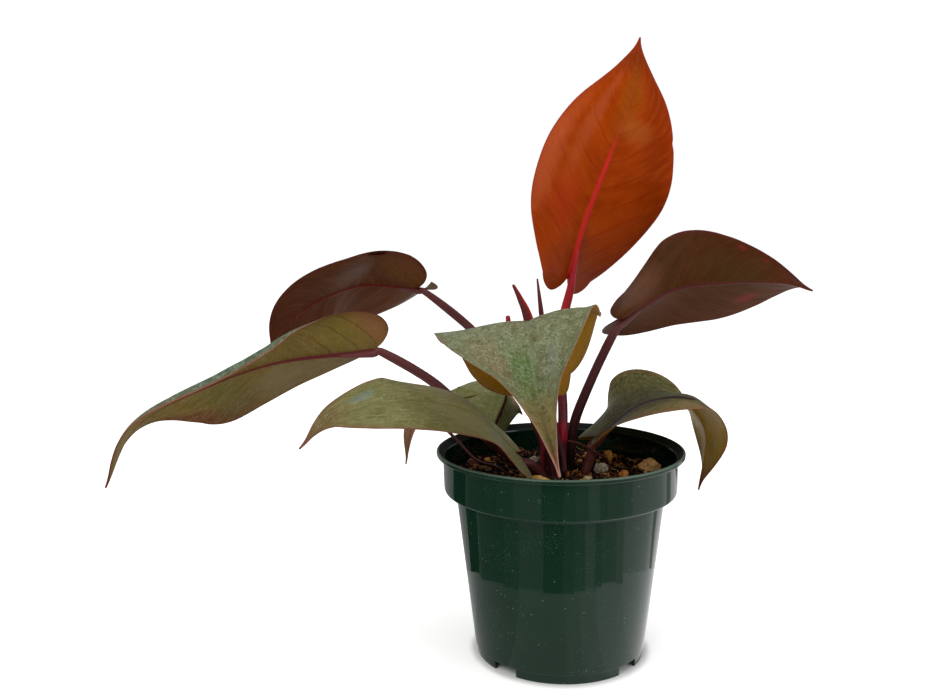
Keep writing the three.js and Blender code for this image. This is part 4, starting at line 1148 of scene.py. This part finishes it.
lowRightLeaf = {
    "rib": [(18, 9, 101), (39, 12, 117), (60, 17, 118), (73, 15, 101), (69, 12, 73)],
    "face": (0, -0.4, 0.9), "width": 73, "roll": (-18, -35, -12), "seed": 808,
    "left": {"fold": (5, -3, 14), "curl": (-74, 42, -112), "hem": (-18, 1, 7, -12, 0), "wide": 1.15},
    "right": {"fold": (11, 10, 19), "curl": (52, -43, 42), "hem": (-27, -14, 10, 20, -1), "wide": 1.06},
    "stalk": [(12.6, 3), (14, 4, 89), (15.5, 5, 93.5)], "radius": 2.3,
    "under": {
        "tones": ((148, 116, 34), (126, 98, 18), (100, 58, 24), (116, 56, 36), (100, 36, 28)),
        "edgeWidth": 0.7, "ribWidth": 1.1, "veinShare": 0.3, "brush": ((150, 126, 56), 0.3),
        "patches": [
            (0.15, 0, 0.2, 1.2, (116, 76, 40), 0.7), (0.98, 0, 0.14, 2, (112, 52, 20), 0.9),
        ],
    },
    "upper": {
        "tones": ((76, 74, 34), (64, 60, 26), (96, 94, 62), (38, 6, 14), (126, 84, 58)),
        "ribDrift": (0.2, 0.72, 0.14, 0.46), "ribWidth": 4.2, "ribTaper": 1.3, "ribSpan": (0.42, 0.46, 0),
        "veinShare": 0.1, "net": ((120, 118, 82), 0.55), "crease": ((40, 40, 22), 0.45),
        "brush": ((104, 100, 60), 0.5),
        "patches": [
            (0.03, -0.2, 0.1, 0.9, (88, 90, 70), 0.85), (0.34, 0.95, 0.14, 0.35, (132, 110, 74), 0.8),
            (0.2, 0.9, 0.14, 0.3, (112, 96, 64), 0.8),
        ],
    },
    "rough": 0.44, "bump": 0.5,
}

leaves = {
    "tall": (tallLeaf, redStalk), "right": (rightLeaf, rightStalk),
    "upper_left": (upperLeftLeaf, maroonStalk), "long_left": (longLeftLeaf, maroonStalk),
    "low_left": (lowLeftLeaf, maroonStalk), "front": (frontLeaf, darkStalk),
    "back": (backLeaf, darkStalk), "low_right": (lowRightLeaf, brownStalk),
}
for name, (leaf, look) in leaves.items():
    plain = name.replace("_", " ")
    piece, rib = makeBlade("blade-" + name, leaf)
    give(piece, leafFinish("blade " + plain, leaf), "leaf_" + name, "leaf_" + name)
    piece = makeStalk("petiole-" + name, leaf, rib)
    give(piece, stalkFinish("petiole " + plain, look), "stalk_" + name, look.get("slot", "stalk_maroon"))
print("leaves made")

# Sheaths, the rolled new leaf, dry stalks and the crown

# path, wide and deep in mm (deep as wide where it isn't given); tones: low, high, streaks and fine threads,
# and the lit side, which starts at litFrom
spikes = {
    "sheath_wide": {
        "path": [(-3.2, 10.4, 77), (-3.2, 10.4, 84.5), (-5, 10, 104), (-9, 9, 134), (-14, 9, 158),
                 (-18, 9, 168), (-21, 9, 174)],
        "wide": (1.8, 1.8, 2, 2.6, 3.3, 2.3, 0.7), "deep": (1.7, 1.7, 1.6, 1.4, 1.2, 0.9, 0.2), "dent": 0.5,
        "tones": ((72, 30, 34), (104, 34, 34), (82, 30, 30), (150, 84, 84), (178, 34, 32)), "litFrom": 0.45,
    },
    "sheath_thin": {
        "path": [(2.4, 0.2, 77), (2.3, 0.6, 84.5), (1.6, 3.4, 94), (-1, 7.6, 104), (-2.7, 10.5, 118),
                 (-5.5, 9.5, 140), (-8, 6, 160), (-10, 5.5, 177)],
        "wide": (1.4, 1.4, 1.3, 1.3, 1.3, 1.3, 1.15, 0.4), "deep": (1.4, 1.4, 1.3, 1.2, 1.1, 1, 0.8, 0.2),
        "dent": 0.45,
        "tones": ((70, 28, 36), (98, 36, 38), (74, 28, 32), (140, 84, 84), (120, 40, 42)), "litFrom": 0.7,
    },
    "new_leaf": {
        "path": [(-7.2, 5.4, 77), (-7.2, 5.4, 84.5), (-8, 5.2, 104), (-11.5, 5.4, 120), (-16.5, 9, 136),
                 (-22.3, 13, 151), (-23.5, 13, 159)],
        "wide": (1.3, 1.3, 1.3, 1.4, 1.6, 1.7, 1.1), "dent": 0.25,
        "tones": ((96, 30, 40), (156, 40, 44), (128, 30, 36), (196, 96, 92), (190, 62, 52)), "litFrom": 0.8,
    },
    "dry_stalk_left": {
        "path": [(-66, 27, 105.5), (-59, 25, 104), (-53, 22.8, 101.4), (-47.6, 18.6, 96.6), (-39, 11, 89.6),
                 (-29, 4, 87.6), (-20.5, 5, 80)],
        "wide": (0.45, 0.75, 0.8, 0.8, 0.8, 0.8, 0.8), "dent": 0.2, "rough": 0.12, "seed": 14,
        "slot": "dry_stalk",
        "tones": ((66, 28, 26), (58, 24, 22), (38, 16, 14), (110, 60, 48), (60, 28, 26)), "litFrom": 0.9,
    },
    "dry_stalk_right": {
        "path": [(4, 2.4, 100.6), (8, 1.6, 99.9), (12.5, 0.6, 98), (17, 1, 95.4), (21.2, 5, 92),
                 (24, 11, 88.4), (25, 18, 80)],
        "wide": (0.4, 0.65, 0.7, 0.7, 0.7, 0.7, 0.7), "dent": 0.2, "rough": 0.1, "seed": 15,
        "slot": "dry_stalk",
        "tones": ((88, 36, 32), (80, 34, 30), (54, 22, 20), (128, 70, 56), (82, 36, 32)), "litFrom": 0.9,
    },
}

spikeTube = {"rings": 90, "sides": 26, "dentWidth": 0.6}


def makeSpike(node, look):
    # A tube with a dent down its back, so that its two edges stand up.
    def dented(share, a):
        return 1 - look["dent"] * channel(a, spikeTube["dentWidth"])

    name, wide = node.replace("_", "-") + "-piece", look["wide"]
    return makeTube(name, look["path"], wide, look.get("deep", wide), (1, 0, 0), spikeTube["rings"],
                    spikeTube["sides"], dented, look.get("seed", 0), look.get("rough", 0))


def spikeFinish(node, look):
    # low to high tone, streaks, pale threads, and the lit side
    f = Finish(node.replace("_", " "))
    low, high, streak, pale, lit = look["tones"]
    streaks, fine = lengthwise(f, 6, 0.05, 4, 0.6), lengthwise(f, 20, 0.06, 2)
    colour = f.coat(tint(*low), high, f.rise(f.read("alongShare"), 0.2, 0.75))
    colour = f.coat(colour, streak, f.rise(streaks, 0.38, 0.66) * 0.7)
    colour = f.coat(colour, pale, f.rise(fine, 0.5, 0.75) * 0.25)
    colour = f.coat(colour, lit, f.rise(f.read("ringX"), look["litFrom"], look["litFrom"] + 0.2))
    return f.close(Base_Color=colour, Roughness=0.42 + 0.15 * streaks,
                   Normal=f.bump(streaks + 0.6 * fine, 0.35, 0.0003), IOR=1.42, Specular_IOR_Level=0.25)


for node, look in spikes.items():
    give(makeSpike(node, look), spikeFinish(node, look), node, look.get("slot", "sheath_red"))

crown = {
    "at": (-2.9, 2.4), "radius": 2.8, "foot": 77, "top": 98, "rings": 40, "sides": 28,
    "rough": 0.2, "seed": 5,
    "ridge": 0.06, "scars": 40,  # height of the ridges as a share, and how closely they follow each other
    "tones": ((56, 26, 28), (70, 36, 32), (38, 18, 18), (120, 84, 66), (64, 30, 30)), "litFrom": 0.9,
}


def makeCrown():
    # A short stem of rings with a ridge at each scar, closed by a rounded top.
    height = np.linspace(0, 1, crown["rings"])
    path = [(*crown["at"], z) for z in np.linspace(crown["foot"], crown["top"], 3)]
    scar = 1 + crown["ridge"] * np.sin(height * crown["scars"])
    radius = crown["radius"] * scar * np.sqrt(np.clip(1 - height ** 12, 0.02, 1))
    return makeTube("crown-stem", path, radius, radius, (1, 0, 0), crown["rings"], crown["sides"],
                    seed=crown["seed"], rough=crown["rough"])


give(makeCrown(), spikeFinish("crown_skin", crown), "crown", "crown")
print("sheaths, dry stalks and crown made")

# Stage: pale floor, soft light, and grey cards that only show as reflections in the pot

studio = {
    "floor": (244, 244, 242), "floorGlow": 0.4, "floorReach": 9000, "floorSides": 96,
    "shade": (0.04, 0.0445),  # metres from the middle, where the paper's glow begins
    "worldLight": 0.7, "worldSeenInGloss": 0.4, "worldTone": (0.97, 0.985, 1, 1),
    # place in metres, size and watts
    "lights": {"key": ((-0.9, -1.3, 1.5), (1.3, 1.3), 17), "fill": ((1.5, -0.9, 0.8), (1, 1.4), 8),
               "top": ((0.1, 0.4, 1.9), (1.4, 1.4), 10)},
    "aim": (-0.03, 0, 0.13),
    # flat cards round the pot, in degrees from the front, going right: where one starts, its grey, and how
    # near it comes in mm; each runs to the next one, the last to cardEnd
    "cards": [(-172, 150, 108), (-124, 12, 108), (-101, 120, 104), (-97, 96, 102), (-62, 116, 99),
              (-46, 150, 100), (-21, 82, 98), (-2, 122, 98), (8, 142, 100), (19, 186, 102), (29, 142, 103),
              (36, 162, 106), (52, 184, 104), (61, 220, 114), (102, 235, 115), (110, 150, 117),
              (119, 240, 118)],
    # the ring of cards close to the pot, up to under the others
    "apron": [(-180, 176), (-110, 164), (-46, 188), (0, 202), (14, 220), (30, 240), (60, 250)],
    "cardEnd": 168, "apronEnd": 180,
    "cardTo": 1500, "apronFrom": 40.5, "apronTo": 130, "cardHeight": 0.6, "apronHeight": 0.3,
    "cardSteps": 24,
}


def areaLight(name, place, size, power):
    # a lit rectangle that looks at the aim
    light = bpy.data.lights.new(name, "AREA")
    light.shape, light.size, light.size_y, light.energy = "RECTANGLE", *size, power
    holder = hold(name, light)
    holder.location = place
    holder.rotation_euler = (Vector(studio["aim"]) - Vector(place)).to_track_quat("-Z", "Y").to_euler()


def card(name, first, last, grey, near, far, height):
    # part of a flat ring above the floor; only glossy reflections meet it
    count = studio["cardSteps"]
    angle = np.radians(np.linspace(first, last, count) - 90)
    ring = np.stack([np.cos(angle), np.sin(angle), 0 * angle], 1)
    points = np.vstack([ring * near, ring * far]) + [0, 0, height]
    piece = makeMesh(name, points, [(i, i + count, i + count + 1, i + 1) for i in range(count - 1)])
    paper = Finish(name).close(Base_Color=(0, 0, 0, 1), Roughness=1, Emission_Color=tint(grey, grey, grey),
                               Emission_Strength=1)
    piece.data.materials.append(paper)
    piece.visible_camera = piece.visible_diffuse = piece.visible_shadow = piece.visible_transmission = False


def makeCards(kind, row):
    # each card runs to the start of the next one
    ends = [values[0] for values in row[1:]] + [studio[kind + "End"]]
    for i, ((first, grey, near), last) in enumerate(zip(row, ends)):
        card(f"{kind}{i}", first, last, grey, near, studio[kind + "To"], studio[kind + "Height"])


def makeFloor():
    # a wide disc just under the foot
    angle = onceRound(studio["floorSides"])
    far = studio["floorReach"]
    rim = np.stack([far * np.cos(angle), far * np.sin(angle), 0 * angle - 0.05], 1)
    floor = makeMesh("floor", rim, [list(range(len(rim)))])
    f = Finish("floorPaper")
    # the paper's glow, which keeps it white, starts only outside the shade at the foot
    x, y = f.axes("XY")
    glow = f.mix(f.rise((x * x + y * y) ** 0.5, *studio["shade"]), (0, 0, 0, 1), (1, 1, 1, 1))
    paper = f.close(Base_Color=tint(*studio["floor"]), Roughness=0.9, Specular_IOR_Level=0,
                    Emission_Color=glow, Emission_Strength=studio["floorGlow"])
    floor.data.materials.append(paper)


def setWorld():
    # plain white behind everything, a soft light on it, and less of that light in reflections
    f = Finish("studio", "worlds")
    gloss, seen = (f.node("ShaderNodeLightPath", out=ray) for ray in ("Is Glossy Ray", "Is Camera Ray"))
    strength = gloss * (studio["worldSeenInGloss"] - studio["worldLight"]) + studio["worldLight"]
    soft = f.node("ShaderNodeBackground", {}, {"Color": studio["worldTone"], "Strength": strength})
    plain = f.node("ShaderNodeBackground", {}, {"Color": (1, 1, 1, 1)})
    both = f.node("ShaderNodeMixShader", {}, {0: seen, 1: soft, 2: plain})
    bpy.context.scene.world = f.end(both, "ShaderNodeOutputWorld")


def setStage():
    makeFloor()
    makeCards("card", studio["cards"])
    makeCards("apron", [(*values, studio["apronFrom"]) for values in studio["apron"]])
    setWorld()
    for name, values in studio["lights"].items():
        areaLight(name, *values)
    bpy.context.scene.view_settings.view_transform = "Standard"


setStage()
print("stage set")
